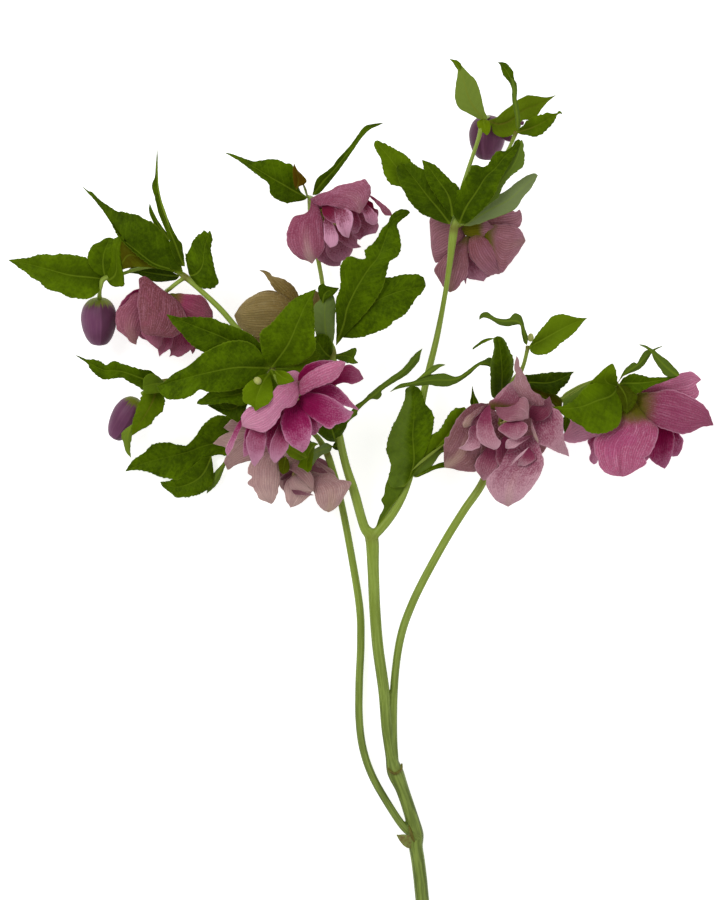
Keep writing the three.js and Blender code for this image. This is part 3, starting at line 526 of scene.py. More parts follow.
def petal_material(name, inner, inner_tip, outer, outer_tip, vein, pale, shade, deep, strip, green_reach):
    m = Shader(name, roughness=0.62, specular=0.05, sheen=0.04)
    flat = m.note("flat")
    s, x, seed = m.split(flat)
    t, u, face = m.split(m.note("place"))
    light, deepness, green = m.split(m.note("tint"))
    strips, speckles, fan = m.split(m.note("marks"))
    blotch = m.noise(flat, 0.16)
    grain = m.noise(flat, 1.25, 3.0, 0.65)
    streaks = m.streaks(0.1, s, 0.9, fan, seed, 3.0, 0.65)
    inside_share = inner_share(m, face)
    # fine veins fan out from the base
    sway = m.streaks(0.07, s, 0.25, fan, seed, 2.0, 0.5)
    lines = m.lines(m.math("ADD", sway, m.times(fan, 0.75)), 0.3)
    lines = m.times(lines, m.range(grain, 0.35, 0.6, 0.45, 1.0))
    lines = m.math("MAXIMUM", lines, m.range(streaks, 0.5, 0.68, 0.0, 0.6))
    # the inner side pales to its tip and its margins in fine speckles
    near_edge = m.range(m.size(u), 0.6, 1.0, 0.0, 0.16)
    specks = m.math("MULTIPLY_ADD", blotch, 0.5, m.math("ADD", t, near_edge))
    specks = m.math("MULTIPLY_ADD", grain, 0.95, specks)
    inside = m.mix(m.range(specks, 0.92, 1.75), inner, inner_tip)
    inside = m.mix(m.range(specks, 1.2, 1.9, 0.0, 0.6), inside, pale)
    inside = m.mix(m.times(lines, 0.3), inside, vein)
    outside = m.mix(m.range(m.math("MULTIPLY_ADD", blotch, 0.5, t), 0.35, 1.15), outer, outer_tip)
    outside = m.mix(m.times(lines, 0.6), outside, vein)
    outside = m.mix(m.times(m.range(grain, 0.45, 0.66), 0.28), outside, pale)
    outside = m.mix(m.range(streaks, 0.3, 0.46, 0.3, 0.0), outside, pale)
    outside = m.mix(m.range(m.noise(flat, 0.09), 0.5, 0.68, 0.0, 0.35), outside, inner_tip)
    colour = m.mix(inside_share, outside, inside)
    # each petal's painted light and shade, then its depth, strip, speckles and green base
    pale_out = m.range(t, 0.0, 0.6, 0.5, 1.0)
    pale_in = m.range(specks, 0.85, 1.5, 0.05, 1.0)
    paling = m.math("MULTIPLY_ADD", inside_share, m.math("SUBTRACT", pale_in, pale_out), pale_out)
    colour = m.mix(m.times(m.positive(light), paling), colour, pale)
    colour = m.mix(m.negative(light), colour, shade)
    fading = m.range(m.math("MULTIPLY_ADD", blotch, 0.3, t), 0.5, 1.25, 1.0, 0.25)
    colour = m.mix(m.times(m.times(deepness, 0.8), fading), colour, deep)
    off = m.size(m.math("ADD", x, m.math("MULTIPLY_ADD", streaks, 5.0, -2.5)))
    band = m.times(m.range(off, 0.2, 3.6, 1.0, 0.0), m.range(t, 0.35, 0.95))
    colour = m.mix(m.times(m.times(band, 0.65), strips), colour, strip)
    spots = m.times(m.range(grain, 0.44, 0.56), speckles)
    colour = m.mix(m.times(spots, 0.3), colour, pale)
    freckles = m.times(m.range(grain, 0.40, 0.50, 1.0, 0.0), speckles)
    colour = m.mix(m.times(freckles, 0.22), colour, vein)
    spread = m.math("MULTIPLY_ADD", green, 0.5, green_reach)
    rise = m.math("SUBTRACT", m.math("MULTIPLY_ADD", blotch, 0.12, t), spread)
    greenness = m.math("MAXIMUM", m.range(face, 0.25, 0.5, 1.0, 0.25), green)
    colour = m.mix(m.times(m.range(rise, -0.1, 0.14, 1.0, 0.0), greenness), colour, PETAL_GREEN)
    # a painted highlight along the margins, where the curled edge of a petal catches the light
    rim = m.times(m.range(m.size(u), 0.90, 1.0), m.range(t, 0.15, 0.5))
    colour = m.mix(m.times(rim, 0.3), colour, pale)
    height = m.math("ADD", m.times(lines, -0.8), m.times(grain, 0.5))
    return m.finish(colour, height, 0.00035, 0.8)


def stem_material(low, high, streak_colour, highlight_colour, ring_colour):
    m = Shader("stem_skin", roughness=0.42, specular=0.2)
    s, angle, seed = m.split(m.note("flat"))
    rise, ring, _ = m.split(m.note("place"))
    streak = m.streaks(0.05, s, 2.2, angle, seed)
    mottle = m.streaks(0.5, s, 3.0, angle, seed)
    colour = m.mix(m.range(rise, 0.1, 0.5), low, high)
    colour = m.mix(m.range(streak, 0.42, 0.62, 0.0, 0.45), colour, streak_colour)
    colour = m.mix(m.range(mottle, 0.5, 0.75, 0.0, 0.3), colour, low)
    # a painted highlight along the top of the stem, and painted shade down its sides
    colour = m.mix(m.range(m.size(angle), 0.1, 1.1, 0.22, 0.0), colour, highlight_colour)
    colour = m.mix(m.range(m.size(angle), 0.9, 1.7, 0.0, 0.3), colour, low)
    colour = m.mix(m.range(ring, 0.0, 1.0, 0.0, 0.8), colour, ring_colour)
    height = m.math("ADD", m.times(streak, 0.8), m.times(mottle, 0.3))
    return m.finish(colour, height, 0.0003, 0.5)


def bud_material(name, body, shade, green, vein):
    m = Shader(name, roughness=0.45, specular=0.15, sheen=0.03)
    flat = m.note("flat")
    s, x, seed = m.split(flat)
    t = m.split(m.note("place"))[0]
    dark, cap, _ = m.split(m.note("tint"))
    streak = m.streaks(0.05, s, 0.9, x, seed)
    colour = m.mix(m.range(m.noise(flat, 0.12), 0.35, 0.75, 0.0, 0.4), body, shade)
    colour = m.mix(m.range(streak, 0.48, 0.66, 0.0, 0.22), colour, vein)
    # painted shade over one sepal, on the side of the bud that lies in shade
    colour = m.mix(m.times(dark, 0.62), colour, shade)
    top = m.math("MULTIPLY_ADD", streak, -0.35, t)
    colour = m.mix(m.times(m.range(top, -0.1, 0.02, 1.0, 0.0), cap), colour, green)
    return m.finish(colour, streak, 0.00025, 0.5)


def plain_material(name, colour, other, roughness=0.5, scale=1.2):
    m = Shader(name, roughness, specular=0.35)
    grain = m.noise(m.note("flat"), scale, 3.0)
    return m.finish(m.mix(m.range(grain, 0.35, 0.7), colour, other), grain, 0.0002, 0.4)


# ---- Leaves: each lobe gives the face that is turned up, its base and tip, both margins between them, the
# heights from base to tip, how far the margins bend to the "in" face, and options. A leaf's "in" face is its
# upper one ----
LEAVES = {
    "far_left_leaf": [
        ("in", (-157.5, 310.5), (-206, 320), [(-161, 316), (-166, 320.5), (-170, 322), (-175, 322.7),
         (-180, 322.9), (-183, 322.3), (-186, 322.9), (-191, 322.5), (-195, 321.2), (-200, 320.7)],
         [(-160, 304.5), (-164, 301), (-168, 300.2), (-171, 300.6), (-175, 301), (-180, 303.5), (-186, 305.2),
         (-190, 308.8), (-194, 311), (-197, 313.8), (-200, 315.7), (-203, 318)],
         (29, 33.5, 34.5, 34, 31.5, 27), 1.4, dict(light=0.15, middle=[(-165, 311.2), (-175, 312.3),
         (-185, 315), (-196, 318)])),
    ],
    "folded_leaf": [
        ("in", (-157, 310.8), (-154.5, 331), [(-162, 313.5), (-165.3, 318), (-165.8, 322.5), (-163.5, 327),
         (-160, 328.8), (-156.8, 330.7)], [(-152.5, 316), (-150.5, 323), (-150.5, 329)], (31, 34, 36, 36), 1,
         dict(light=0.1)),
        ("in", (-156.5, 309.8), (-147.5, 332.7), [(-156, 314), (-154.5, 320), (-154, 326), (-152.5, 330.3),
         (-150, 332)], [(-154.5, 307.4), (-152.3, 306.5), (-149.5, 306.5), (-147.7, 307.1), (-147.8, 312),
         (-149, 318), (-149.3, 325)], (31.5, 36, 38.5, 38.5), -1.4, dict(light=0.3)),
        ("in", (-150, 314.5), (-126, 315), [(-150.5, 322), (-149.5, 330.5), (-145.5, 327), (-141, 322.5),
         (-135, 319), (-130, 317)], [(-146, 315.6), (-140, 316.3), (-133, 315.8)], (35, 38.5, 38, 36), 0.2,
         dict(teeth=0, brown=0.55)),
    ],
    "up_left_leaf": [
        ("in", (-118, 313), (-168.8, 356.8), [(-120, 319), (-123.5, 326.5), (-126.5, 331.5), (-130.5, 336),
         (-133, 338.4), (-136.5, 339.7), (-139, 341.3), (-141, 342.2), (-145, 343), (-148, 343.8),
         (-151, 344), (-154, 346), (-158, 348.5), (-161, 351), (-163.5, 353.7), (-165.5, 354.3)],
         [(-124, 314), (-131, 315.6), (-136, 318), (-141, 321.8), (-146, 326.6), (-150.8, 331.6), (-154, 338),
         (-156.5, 342), (-160, 346.5), (-163, 350.3), (-166.5, 354)], (36, 40, 43, 43.5, 42, 39, 33), 1.2,
         dict(light=-0.25, middle=[(-125, 315.3), (-133, 318), (-141, 324), (-148, 330), (-154, 338.5),
         (-160, 347.3), (-165, 353)])),
        ("in", (-125, 329), (-134.8, 348), [(-131.5, 336.5), (-134, 340.5), (-135.2, 344.5)], [(-125.5, 332),
         (-128.6, 336.3), (-131.3, 340.5), (-133.5, 344.8)], (43.3, 43.6, 43), 0, dict(teeth=0, light=-0.3)),
    ],
    "upright_leaf": [
        ("in", (-117.3, 316.5), (-131, 375.6), [(-120.5, 317.5), (-123, 322), (-124.5, 326.5), (-125, 330),
         (-127, 335), (-130, 342), (-131.5, 348), (-132.5, 352), (-133.4, 355.5), (-133.2, 358), (-132, 361),
         (-131.7, 366), (-131.3, 371)], [(-117.6, 321), (-118.3, 325), (-118.7, 328), (-120.5, 330),
         (-123, 334.5), (-126, 341.5), (-128.3, 348), (-130, 355), (-130.5, 362), (-130.6, 370)],
         (37, 46, 50, 52, 52, 46), 0.8, dict(teeth=0.1, light=-0.1)),
        ("out", (-124.5, 335), (-131, 372), [(-128, 344), (-130.3, 353), (-131, 360), (-131.2, 366)],
         [(-126, 341.5), (-128.3, 348), (-129.9, 355), (-130.4, 362), (-130.7, 368)], (50.8, 53, 53.4, 50.5),
         0, dict(teeth=0, light=0.3)),
    ],
    "drooping_leaf": [
        ("in", (-115.3, 312.5), (-104.8, 334.6), [(-116.5, 318), (-117, 322), (-114.5, 326), (-113.5, 329),
         (-111.5, 331.5), (-109, 333.5), (-107.3, 334.5), (-106.3, 333.3)], [(-113, 309.5), (-109.5, 306),
         (-106, 305.4), (-102.5, 306), (-100.5, 308.7), (-102.2, 314), (-103.3, 320), (-104.3, 325),
         (-103.5, 330)], (36.5, 39, 40.5, 40, 37), -1.4, dict(teeth=0.9)),
    ],
    "small_dark_leaf": [
        ("in", (-120, 312), (-147.6, 313.6), [(-128, 316), (-137, 317.3), (-143, 316.9)], [(-122, 309.9),
         (-127, 309.2), (-132, 309), (-136.5, 310.4), (-141, 312.9)], (31.5, 29, 27, 25), 0.5,
         dict(teeth=0, light=-0.6)),
    ],
    "dark_leaf": [
        ("in", (-75.5, 268.5), (-126.3, 292.5), [(-78.3, 275.8), (-82, 280.6), (-86, 283.5), (-91.5, 286),
         (-98.5, 288.5), (-103, 290.5), (-110, 291.2), (-119, 291), (-123, 291.8)], [(-84, 270), (-92, 271),
         (-100, 273), (-108, 273.7), (-113.5, 277), (-119, 283), (-123, 287.5)], (46, 50, 52, 53, 53.5, 53),
         1.2, dict(light=-0.2, middle=[(-88, 275.5), (-98, 281), (-108, 285), (-118, 289)])),
    ],
    "great_left_leaf": [
        ("in", (-74.5, 266), (-131, 256.8), [(-79, 273), (-83, 277.5), (-88, 279.3), (-92, 279.5),
         (-97, 278.5), (-103.5, 275.5), (-107.5, 273.5), (-110.5, 270.8), (-116, 266.3), (-122.5, 263),
         (-126, 259.8)], [(-80, 260), (-88, 256), (-96, 254), (-105, 253.8), (-109.5, 254.8), (-114, 251.5),
         (-120, 250), (-126, 250.5), (-129, 253)], (47, 55, 59, 61, 60, 57), 1.4, dict(middle=[(-82, 266),
         (-92, 266), (-105, 263.5), (-117, 260.5)])),
        ("in", (-80, 261), (-111.2, 248), [(-88, 258.5), (-97, 256.5), (-105, 253.8), (-108, 251.2),
         (-110.5, 249.8)], [(-84, 252), (-88, 247), (-96, 248.3), (-104, 247.5), (-108, 247.3)],
         (49, 54, 56, 54), 1, {}),
        ("in", (-84, 256), (-106, 247.2), [(-92, 252), (-100, 249)], [(-86.5, 246), (-90, 239), (-93, 240),
         (-99, 243.3), (-103, 245.5)], (46, 48, 48, 47), 0.5, dict(light=-0.4)),
    ],
    "front_leaf": [
        ("in", (-75, 263.5), (-81.8, 244.2), [(-80, 262), (-84, 259.5), (-87.5, 256), (-88.3, 251),
         (-87, 248.2), (-83.5, 246.8)], [(-74, 260), (-73, 253), (-73.8, 250), (-75.5, 247.8), (-79, 246)],
         (50, 60, 67, 70.5, 71), 1.4, dict(light=0.5)),
    ],
    "upper_leaf": [
        ("in", (-74.3, 266), (-52, 305), [(-77, 268.8), (-78.8, 273), (-79.9, 282.5), (-77.5, 285.5),
         (-74, 288), (-68, 295), (-63, 300), (-56.5, 303.2)], [(-66, 266.5), (-58, 269), (-52.3, 274.5),
         (-52.3, 282), (-52.7, 290), (-53, 296), (-53.3, 300)], (48, 54, 58, 60, 59, 57), -1.4,
         dict(light=0.1, middle=[(-66, 277), (-61, 288), (-57, 297)])),
        ("in", (-72.5, 266.5), (-49.5, 272.5), [(-66, 270.5), (-58, 274), (-53, 275)], [(-70, 262.8),
         (-65.5, 261.6), (-60, 262), (-55, 266), (-52, 268.3)], (48, 51, 51.5, 50.5), -0.8, dict(light=0.25)),
        ("in", (-74.6, 265.2), (-71, 254.4), [(-70.2, 263.2), (-66.4, 258.8)], [(-75.9, 262.5), (-75.6, 258),
         (-74.4, 255)], (48, 51, 53), 0.3, dict(light=0.5, teeth=0)),
        ("in", (-72.3, 264.5), (-62.5, 259.6), [(-69, 264.6), (-65.3, 263)], [(-70.6, 257.5), (-66, 257)],
         (52, 55.5, 57), 0.4, dict(light=0.7, teeth=0)),
    ],
    "curly_leaf": [
        ("in", (-129.5, 258.8), (-172.3, 272.4), [(-133, 263.5), (-136, 265.1), (-140, 265.6), (-145, 267),
         (-149, 268.3), (-152.3, 269.5), (-155, 268.5), (-157, 267.3), (-160, 269.5), (-163, 270.3),
         (-166.5, 270.4), (-170.5, 272)], [(-136.5, 254.5), (-141, 256.8), (-144.5, 258.4), (-147, 260.2),
         (-149, 261.1), (-155, 260.3), (-158, 260.2), (-162, 262.5), (-165.3, 266), (-166, 268)],
         (26, 29, 31, 32, 31, 27), 1.4, dict(ruffle=1.4)),
    ],
    "hanging_leaf": [
        ("in", (-131, 256.5), (-143.7, 232.2), [(-137.3, 254.8), (-139.5, 251), (-141.5, 245.5),
         (-143.3, 240), (-144, 236)], [(-128, 252), (-127.6, 247.3), (-129, 244), (-132.5, 240.8),
         (-134.8, 237.4), (-139, 235.2)], (27, 32, 34.5, 33.5), -1.2, dict(light=0.3, stalk=-1)),
        ("in", (-127.5, 258.6), (-138.4, 256.5), [(-131, 262), (-134.5, 263.2), (-137.7, 261)],
         [(-129, 254.3), (-133.5, 253), (-137.5, 253.6)], (27.5, 34, 36.5, 36), 0.8,
         dict(teeth=0, light=0.35, grey=0.35)),
        ("out", (-142.8, 238.5), (-144.4, 221), [(-146, 236.3), (-149.3, 233), (-148.2, 228.5), (-147, 224)],
         [(-143.2, 234), (-144.4, 229.5), (-144.8, 224.5)], (33.6, 31.5, 28, 25), 0.8, dict(light=0.3)),
    ],
    "low_left_leaf": [
        ("in", (-52, 227), (-148, 214.2), [(-62, 236), (-75, 239), (-88, 240), (-98.5, 242.3),
         (-103.5, 241.7), (-108.8, 237.5), (-112.5, 232), (-116.5, 227.8), (-119.5, 227.5), (-126, 228.9),
         (-129, 229), (-134, 227.8), (-136.5, 225.7), (-139, 223.3), (-144, 220)], [(-62, 226), (-78, 222),
         (-90, 222), (-98, 222.3), (-103, 222.3), (-108, 219), (-116, 213), (-121.5, 209.8), (-124, 210.2),
         (-130, 211.3), (-136, 213.7), (-142, 214.9)], (11, 6, 4, 4, 5, 7, 6, 2.2), 0.8,
         dict(middle=[(-75, 231), (-104, 228), (-118, 223.5), (-138, 218.5)])),
        ("in", (-104.5, 222), (-130.4, 209), [(-109, 221), (-116, 215.3), (-121, 212), (-126, 209.6)],
         [(-103.5, 214), (-104, 208), (-109, 203.5), (-116, 201.4), (-122, 201.2), (-124.5, 203),
         (-129, 206.5)], (5, 6.5, 6.5, 2.5), 0.8, dict(light=-0.1)),
        ("out", (-96, 222.5), (-107, 203), [(-99.5, 217.8), (-103, 214), (-106, 209)], [(-97, 219),
         (-99, 213.5), (-102, 207.5)], (4, 5, 5.5, 4.5), 0.5, {}),
    ],
    "lobed_leaf": [
        ("in", (-42, 277), (-5, 343.3), [(-41.7, 286), (-42, 292), (-42, 300), (-40.5, 304), (-39.8, 308),
         (-40, 315), (-39.6, 317.5), (-38.2, 319.2), (-36.5, 320.8), (-34.5, 321.5), (-31, 320.3), (-28, 320),
         (-27.3, 321.2), (-27.8, 324), (-26.5, 325.7), (-24, 327.5), (-21.5, 330.5), (-20, 333.5),
         (-18.5, 336), (-16, 338), (-15.5, 340), (-14.5, 342), (-12, 344), (-10, 345), (-8, 345),
         (-6, 344.5)], [(-36, 284), (-30, 290), (-24, 297), (-19, 305), (-17.2, 311), (-16, 316), (-15, 319),
         (-12.5, 320.3), (-10.5, 322.5), (-9.5, 325.5), (-9.7, 329), (-10.5, 333.5), (-11.5, 336), (-11, 338),
         (-9, 339.7), (-6.5, 341.7)], (31, 38, 43, 47, 50, 51.5, 50, 47, 42), 0.8, dict(light=-0.1,
         middle=[(-38, 288), (-36.5, 295), (-33, 303), (-29, 310), (-25, 316), (-21, 321), (-18.5, 327),
         (-16.5, 333), (-13, 340)])),
        ("in", (-41, 278.5), (2.8, 306.7), [(-37, 290), (-30, 302), (-22, 309), (-17.4, 311), (-14.5, 311),
         (-12, 311.7), (-8.5, 312.5), (-5, 312.7), (-1.3, 312.5), (1, 311.5), (2.3, 309.5)], [(-40.3, 281.3),
         (-35, 280.7), (-31, 280.8), (-27, 281.7), (-22, 283.5), (-19, 284.7), (-16, 286), (-13.5, 288.7),
         (-10, 290.7), (-6.5, 293.8), (-4, 297.3), (-2, 300.7), (0, 302.2), (1.5, 304.5)],
         (31.5, 37.5, 43, 46, 45.5, 42), 0.8, dict(light=-0.05, middle=[(-36, 287.5), (-29, 293.5),
         (-20, 300), (-10, 304)])),
    ],
    "strip_leaf": [
        ("out", (-44, 276), (-46.5, 303), [(-50, 279), (-52.3, 284), (-52.8, 290), (-53.2, 296.5),
         (-50.5, 299.5)], [(-42.8, 282), (-42.5, 290), (-42.2, 298), (-43.5, 302.5)], (31, 35.5, 37.5, 38),
         0.5, dict(teeth=0.1, grey=0.25)),
        ("in", (-48.5, 298), (-40.3, 305.8), [(-50.5, 302), (-51, 306), (-50, 307.3), (-48, 308),
         (-47.3, 307), (-43.5, 306.2)], [(-46, 300.5), (-43.5, 302.2), (-41.8, 303.7)], (38.7, 39.5, 38.5),
         0.3, dict(light=-0.2)),
    ],
    "little_leaf": [
        ("in", (-44.5, 271.5), (-52.6, 281.5), [(-43.5, 276.5), (-45.5, 281.5), (-49.5, 283)], [(-47, 268.6),
         (-51, 267.8), (-54, 272), (-54.2, 277)], (29.5, 33, 35.5, 36), 0.8, dict(light=-0.25)),
        ("in", (-45, 273), (-30.8, 268.5), [(-42, 272.8), (-37, 274.3), (-33.5, 276), (-32, 276),
         (-31.8, 273.5), (-33.2, 271)], [(-42, 270.5), (-38, 269), (-33.5, 268)], (29.5, 30.5, 31, 30.5), 0.3,
         dict(grey=0.3)),
    ],
    "narrow_leaf": [
        ("out", (-42.5, 228.5), (1.3, 275.9), [(-40, 234), (-36, 241.5), (-32.5, 247.2), (-29, 249.5),
         (-26, 252.5), (-22, 256), (-18, 259), (-14, 262), (-10, 264.7), (-7, 267.5), (-5, 270.5),
         (-3, 272.5), (-1.5, 274)], [(-40.5, 231), (-38, 236), (-34.5, 240.3), (-31.5, 242.5), (-31, 244.5),
         (-27, 248.5), (-24, 250.5), (-21, 250.3), (-19, 252.5), (-19.3, 254.3), (-16, 256.7), (-12, 259.2),
         (-8, 261.5), (-5, 264), (-2, 267.5), (-0.3, 270), (0.3, 273)], (14, 18, 22, 25, 26, 26, 24.5, 22),
         0.7, dict(teeth=0.1, grey=-0.3)),
        ("in", (-44, 226.5), (-38.6, 227.3), [(-42.5, 229), (-40.5, 229.8), (-39, 229.3)], [(-42.5, 225.1),
         (-40, 224.8), (-38.8, 225.7)], (15.5, 18.5, 18.5), -0.8, dict(teeth=0, light=-0.4)),
    ],
    "forked_leaf": [
        ("in", (-8, 206.5), (-4, 257.3), [(-14.5, 206.5), (-16, 210.5), (-15, 214.5), (-14.7, 217.5),
         (-15.7, 221), (-17, 225), (-16.3, 230), (-15, 234), (-13.3, 238), (-11, 242.5), (-9, 247),
         (-7.5, 252), (-7.2, 255.5)], [(-4.5, 211), (-1.5, 216), (2, 222), (5.8, 232.5), (6.9, 238), (7, 242),
         (5.5, 245), (3.5, 247), (2.3, 249.5), (1.5, 252), (-0.3, 256)], (25, 26.5, 27.5, 27.5, 27, 26, 23.5),
         0.9, dict(wing=0.8, middle=[(-5.2, 211.5), (-3, 220), (-3.6, 232), (-3, 242), (-3, 250)])),
        ("in", (-22.6, 185), (-8, 220), [(-21, 189.5), (-20.2, 192), (-18, 196.5), (-19.4, 200), (-18, 202.5),
         (-17.4, 207), (-16, 210.5), (-15, 214.5), (-14, 218)], [(-20, 188), (-14.5, 196.3), (-8, 205.5),
         (-5, 213)], (18.5, 20.5, 22.3, 24, 25.5), 0.5, dict(teeth=0.1, grey=0.5, light=0.15,
         middle=[(-20.4, 187.8), (-15, 196), (-8.5, 205.2), (-6, 213)])),
        ("in", (-4.2, 214.5), (15, 230), [(0, 219.5), (6.9, 224.8)], [(1, 218.6), (7.6, 223.9)],
         (27.4, 28.4, 28), -0.3, dict(teeth=0, quilt=0, groove=0, stalk=0.9)),
        ("in", (-3.5, 216), (22.2, 246.6), [(2, 226), (5.8, 232.5), (9.5, 235), (12.5, 240), (15, 243.5),
         (17.5, 246), (19.5, 246)], [(2, 221), (7, 224.8), (12, 228), (19, 236), (24, 243.5)],
         (26.3, 27, 27, 26, 25), 0.8, dict(light=0.3, middle=[(3, 221.8), (8, 226), (14, 233), (20, 242)])),
        ("in", (27, 246), (26.1, 257.5), [(25, 248.5), (25.7, 252.5)], [(29.5, 248), (27.3, 253)],
         (22, 23, 23), 0.2, dict(teeth=0, light=-0.4)),
        ("out", (-4.5, 212), (12.5, 224.3), [(-3.5, 218), (1, 223), (6, 227), (10.5, 229)], [(-1, 211.6),
         (4, 214.8), (7, 218.3), (9.9, 222.6)], (24.5, 25, 25), 0.3, dict(teeth=0)),
        ("in", (-3, 211.3), (14, 217.5), [(1, 214), (5.8, 216.9), (12, 219)], [(-1, 211.4), (3, 213.2),
         (8, 215.4), (12.5, 216.3)], (25.3, 24.8, 23), 0.2, dict(teeth=0, light=-0.2)),
    ],
    "long_leaf": [
        ("out", (43, 257.5), (-15.1, 254), [(39.5, 266), (35.5, 271.2), (32, 270), (28.5, 268.3), (24, 265),
         (20.5, 262.5), (18, 261.7), (16, 261.9), (13.5, 263), (11, 263.3), (6, 262.8), (2, 262), (-2, 260),
         (-5, 259), (-9, 258.3), (-12, 256.7)], [(39.5, 261), (35, 266.4), (31, 267.3), (29, 267), (27, 265),
         (24.5, 262.5), (21, 260), (17.5, 258), (13.5, 256.7), (9, 256.8), (4, 257.5), (0, 257), (-5, 256.8),
         (-9, 256), (-13, 255)], (16, 24.5, 29.5, 31.5, 33, 32.7, 32, 30.5, 27), 0.7,
         dict(teeth=0, grey=-0.35)),
        ("out", (-2, 260), (12.9, 267.6), [(0, 261.8), (2.5, 264), (5, 266.3), (8, 267.7), (10.5, 268)],
         [(3, 262), (5.5, 263), (7.5, 264.3), (10, 266.3)], (31.6, 33, 32.5), 0, dict(teeth=0)),
    ],
    "bent_leaf": [
        ("in", (42, 254), (38.5, 281.8), [(37, 250.8), (35.5, 253.5), (35.2, 258), (35, 266), (35.3, 269.5),
         (36, 272), (36.8, 276), (36.5, 279), (36.6, 280.8)], [(44.5, 258), (45.8, 261), (46.8, 263.5),
         (46.6, 266), (46.8, 269), (46, 272), (44, 276), (42.5, 279.5), (41, 281.2)],
         (15.5, 22, 29, 35, 39, 41), 1.2, dict(light=-0.25, rim=1)),
        ("in", (37.5, 280.8), (26.2, 275), [(34, 280.8), (31, 279.8), (28.5, 277.9), (26.2, 276)],
         [(35.5, 280), (31, 278), (28, 276.2)], (41, 40.5, 38), 0, dict(teeth=0)),
    ],
    "mini_left_leaf": [
        ("out", (53.6, 277.5), (29.6, 290), [(51.8, 279), (50.8, 283), (50, 287.3), (47.5, 287.5),
         (44, 286.7), (40, 287.3), (37, 289), (34, 290.7), (31, 291.3)], [(54, 281), (53.3, 283.5),
         (52.2, 286.5), (51.7, 289), (50.5, 292), (48, 293.4), (46, 292.5), (44.5, 290.8), (41, 290.5),
         (38, 291), (35.5, 292.5), (33.5, 294), (31, 293.5), (29.7, 292)], (21.5, 28, 31.5, 33, 33, 32, 28),
         0.5, dict(teeth=0.1, grey=-0.3)),
    ],
    "mini_right_leaf": [
        ("in", (54.5, 276.8), (83.7, 291), [(57.5, 281.5), (60, 285), (63, 288.5), (65.5, 291.5), (68, 292.5),
         (71, 293), (74.5, 292.3), (77, 291.5), (80, 291.1)], [(55.5, 274), (57.5, 272.8), (60, 272.4),
         (64.5, 273.5), (68, 276), (71, 278.8), (75, 281.5), (78, 284.5), (80, 287), (82, 289.5)],
         (21.5, 25.5, 28, 29, 28.5, 27), 1.2, dict(light=0.6, grey=0.1, middle=[(61, 280), (70, 285),
         (77, 288.5)])),
    ],
    "dark_right_leaf": [
        ("in", (50, 257.5), (77.2, 264.2), [(52, 262.2), (58, 263), (66, 264), (72, 264)], [(57, 256),
         (63, 253.5), (68.3, 253), (70.5, 255.5), (73.5, 258.3), (75, 260.5), (75.3, 262)],
         (18, 21.5, 23, 23.5, 23), 0.5, dict(light=-0.6)),
    ],
    "olive_leaf": [
        ("in", (49, 255), (71, 246), [(52.5, 258), (55.5, 259.3), (58, 259), (61, 257.8), (65, 255),
         (70.5, 251), (71.3, 248.5)], [(54, 250.5), (60, 248.5), (66.5, 245.2)], (15, 15, 14.5, 14), 0.4,
         dict(teeth=0, brown=0.45, light=-0.2, rim=0.6)),
        ("in", (73, 245), (72.3, 233.3), [(71.5, 240), (71.6, 236)], [(75, 240), (73.7, 236)], (26.5, 28, 28),
         0.2, dict(teeth=0, light=-0.3)),
    ],
    "great_right_leaf": [
        ("in", (98.5, 256.5), (65.5, 246.5), [(94, 259), (87, 258.5), (82, 256), (79, 252.5), (76, 249.5),
         (71, 247)], [(100.2, 250), (100.6, 246), (100.3, 241.5), (99, 237.5), (96, 235), (93, 233.7),
         (89, 233), (86, 233.3), (83, 234.3), (81, 236.5), (78, 238), (75, 240), (71.5, 242.3), (69, 244.2)],
         (31.5, 38, 43, 46, 46, 43, 38), -1.4, dict(light=0.2, middle=[(95, 252), (88, 249.5), (80, 246.5),
         (72, 245.7)])),
        ("in", (98.6, 257), (95.7, 268.2), [(92, 255), (84.5, 257.5), (86, 260), (89, 263), (91, 265),
         (94.3, 267.5)], [(98.2, 261), (97.5, 264.5), (96.6, 267)], (32, 38, 42.5, 43), 0.8, dict(light=0.4)),
        ("in", (98.6, 258.2), (103, 243), [(98, 252), (99.6, 246)], [(104.8, 256), (108.3, 252.2),
         (106.4, 246.5)], (32, 35, 36, 36.5), 0.4, dict(teeth=0, light=-0.25, brown=0.2)),
        ("out", (85, 258.5), (71, 245.2), [(82, 257), (79, 254.7), (75, 252.2), (71.7, 250.2), (71.2, 248)],
         [(82, 254), (77, 249), (74, 246)], (41, 42, 40.5, 38), 0, dict(teeth=0)),
        ("in", (87, 260.3), (70.3, 250.8), [(80, 257.9), (76, 255.7), (72, 253.3)], [(84, 257.8), (78, 254.5),
         (74, 252), (71.3, 250.3)], (40, 39, 36), 0, dict(teeth=0, stalk=1)),
    ],
    "tipped_leaf": [
        ("in", (99.4, 258), (129.4, 262.5), [(101.5, 261), (105, 262.8), (107.5, 263), (111, 262.3),
         (115, 261.2), (119, 261.5), (122, 261.3), (125, 262.3), (128, 263)], [(102.5, 256.5), (106, 254),
         (108.5, 253.3), (112, 255), (117, 257.5), (121, 258.7), (124, 260), (127.5, 261.3)],
         (29.5, 35, 37.5, 38, 37), 0.8, dict(light=-0.1)),
        ("out", (128.8, 262), (109, 277.7), [(129.2, 263.3), (128, 265), (126, 267), (123, 270), (120, 272),
         (117, 274.5), (114.5, 276), (112, 277.3)], [(124.5, 261.5), (121.5, 262.5), (120, 265), (118, 267.5),
         (116, 271), (115.3, 273.2), (113.5, 275), (111, 276.7)], (37.5, 40, 42, 41.5, 39), 0.6,
         dict(teeth=0, grey=-0.2)),
    ],
    "slim_leaf": [
        ("out", (98.9, 258.8), (121.3, 277), [(102, 265), (105.5, 268.3), (107, 268.8), (108.3, 268.3),
         (110, 271.5), (112, 274.3), (114, 275), (116, 275.3), (118.5, 276.3)], [(101, 261.5), (104, 263),
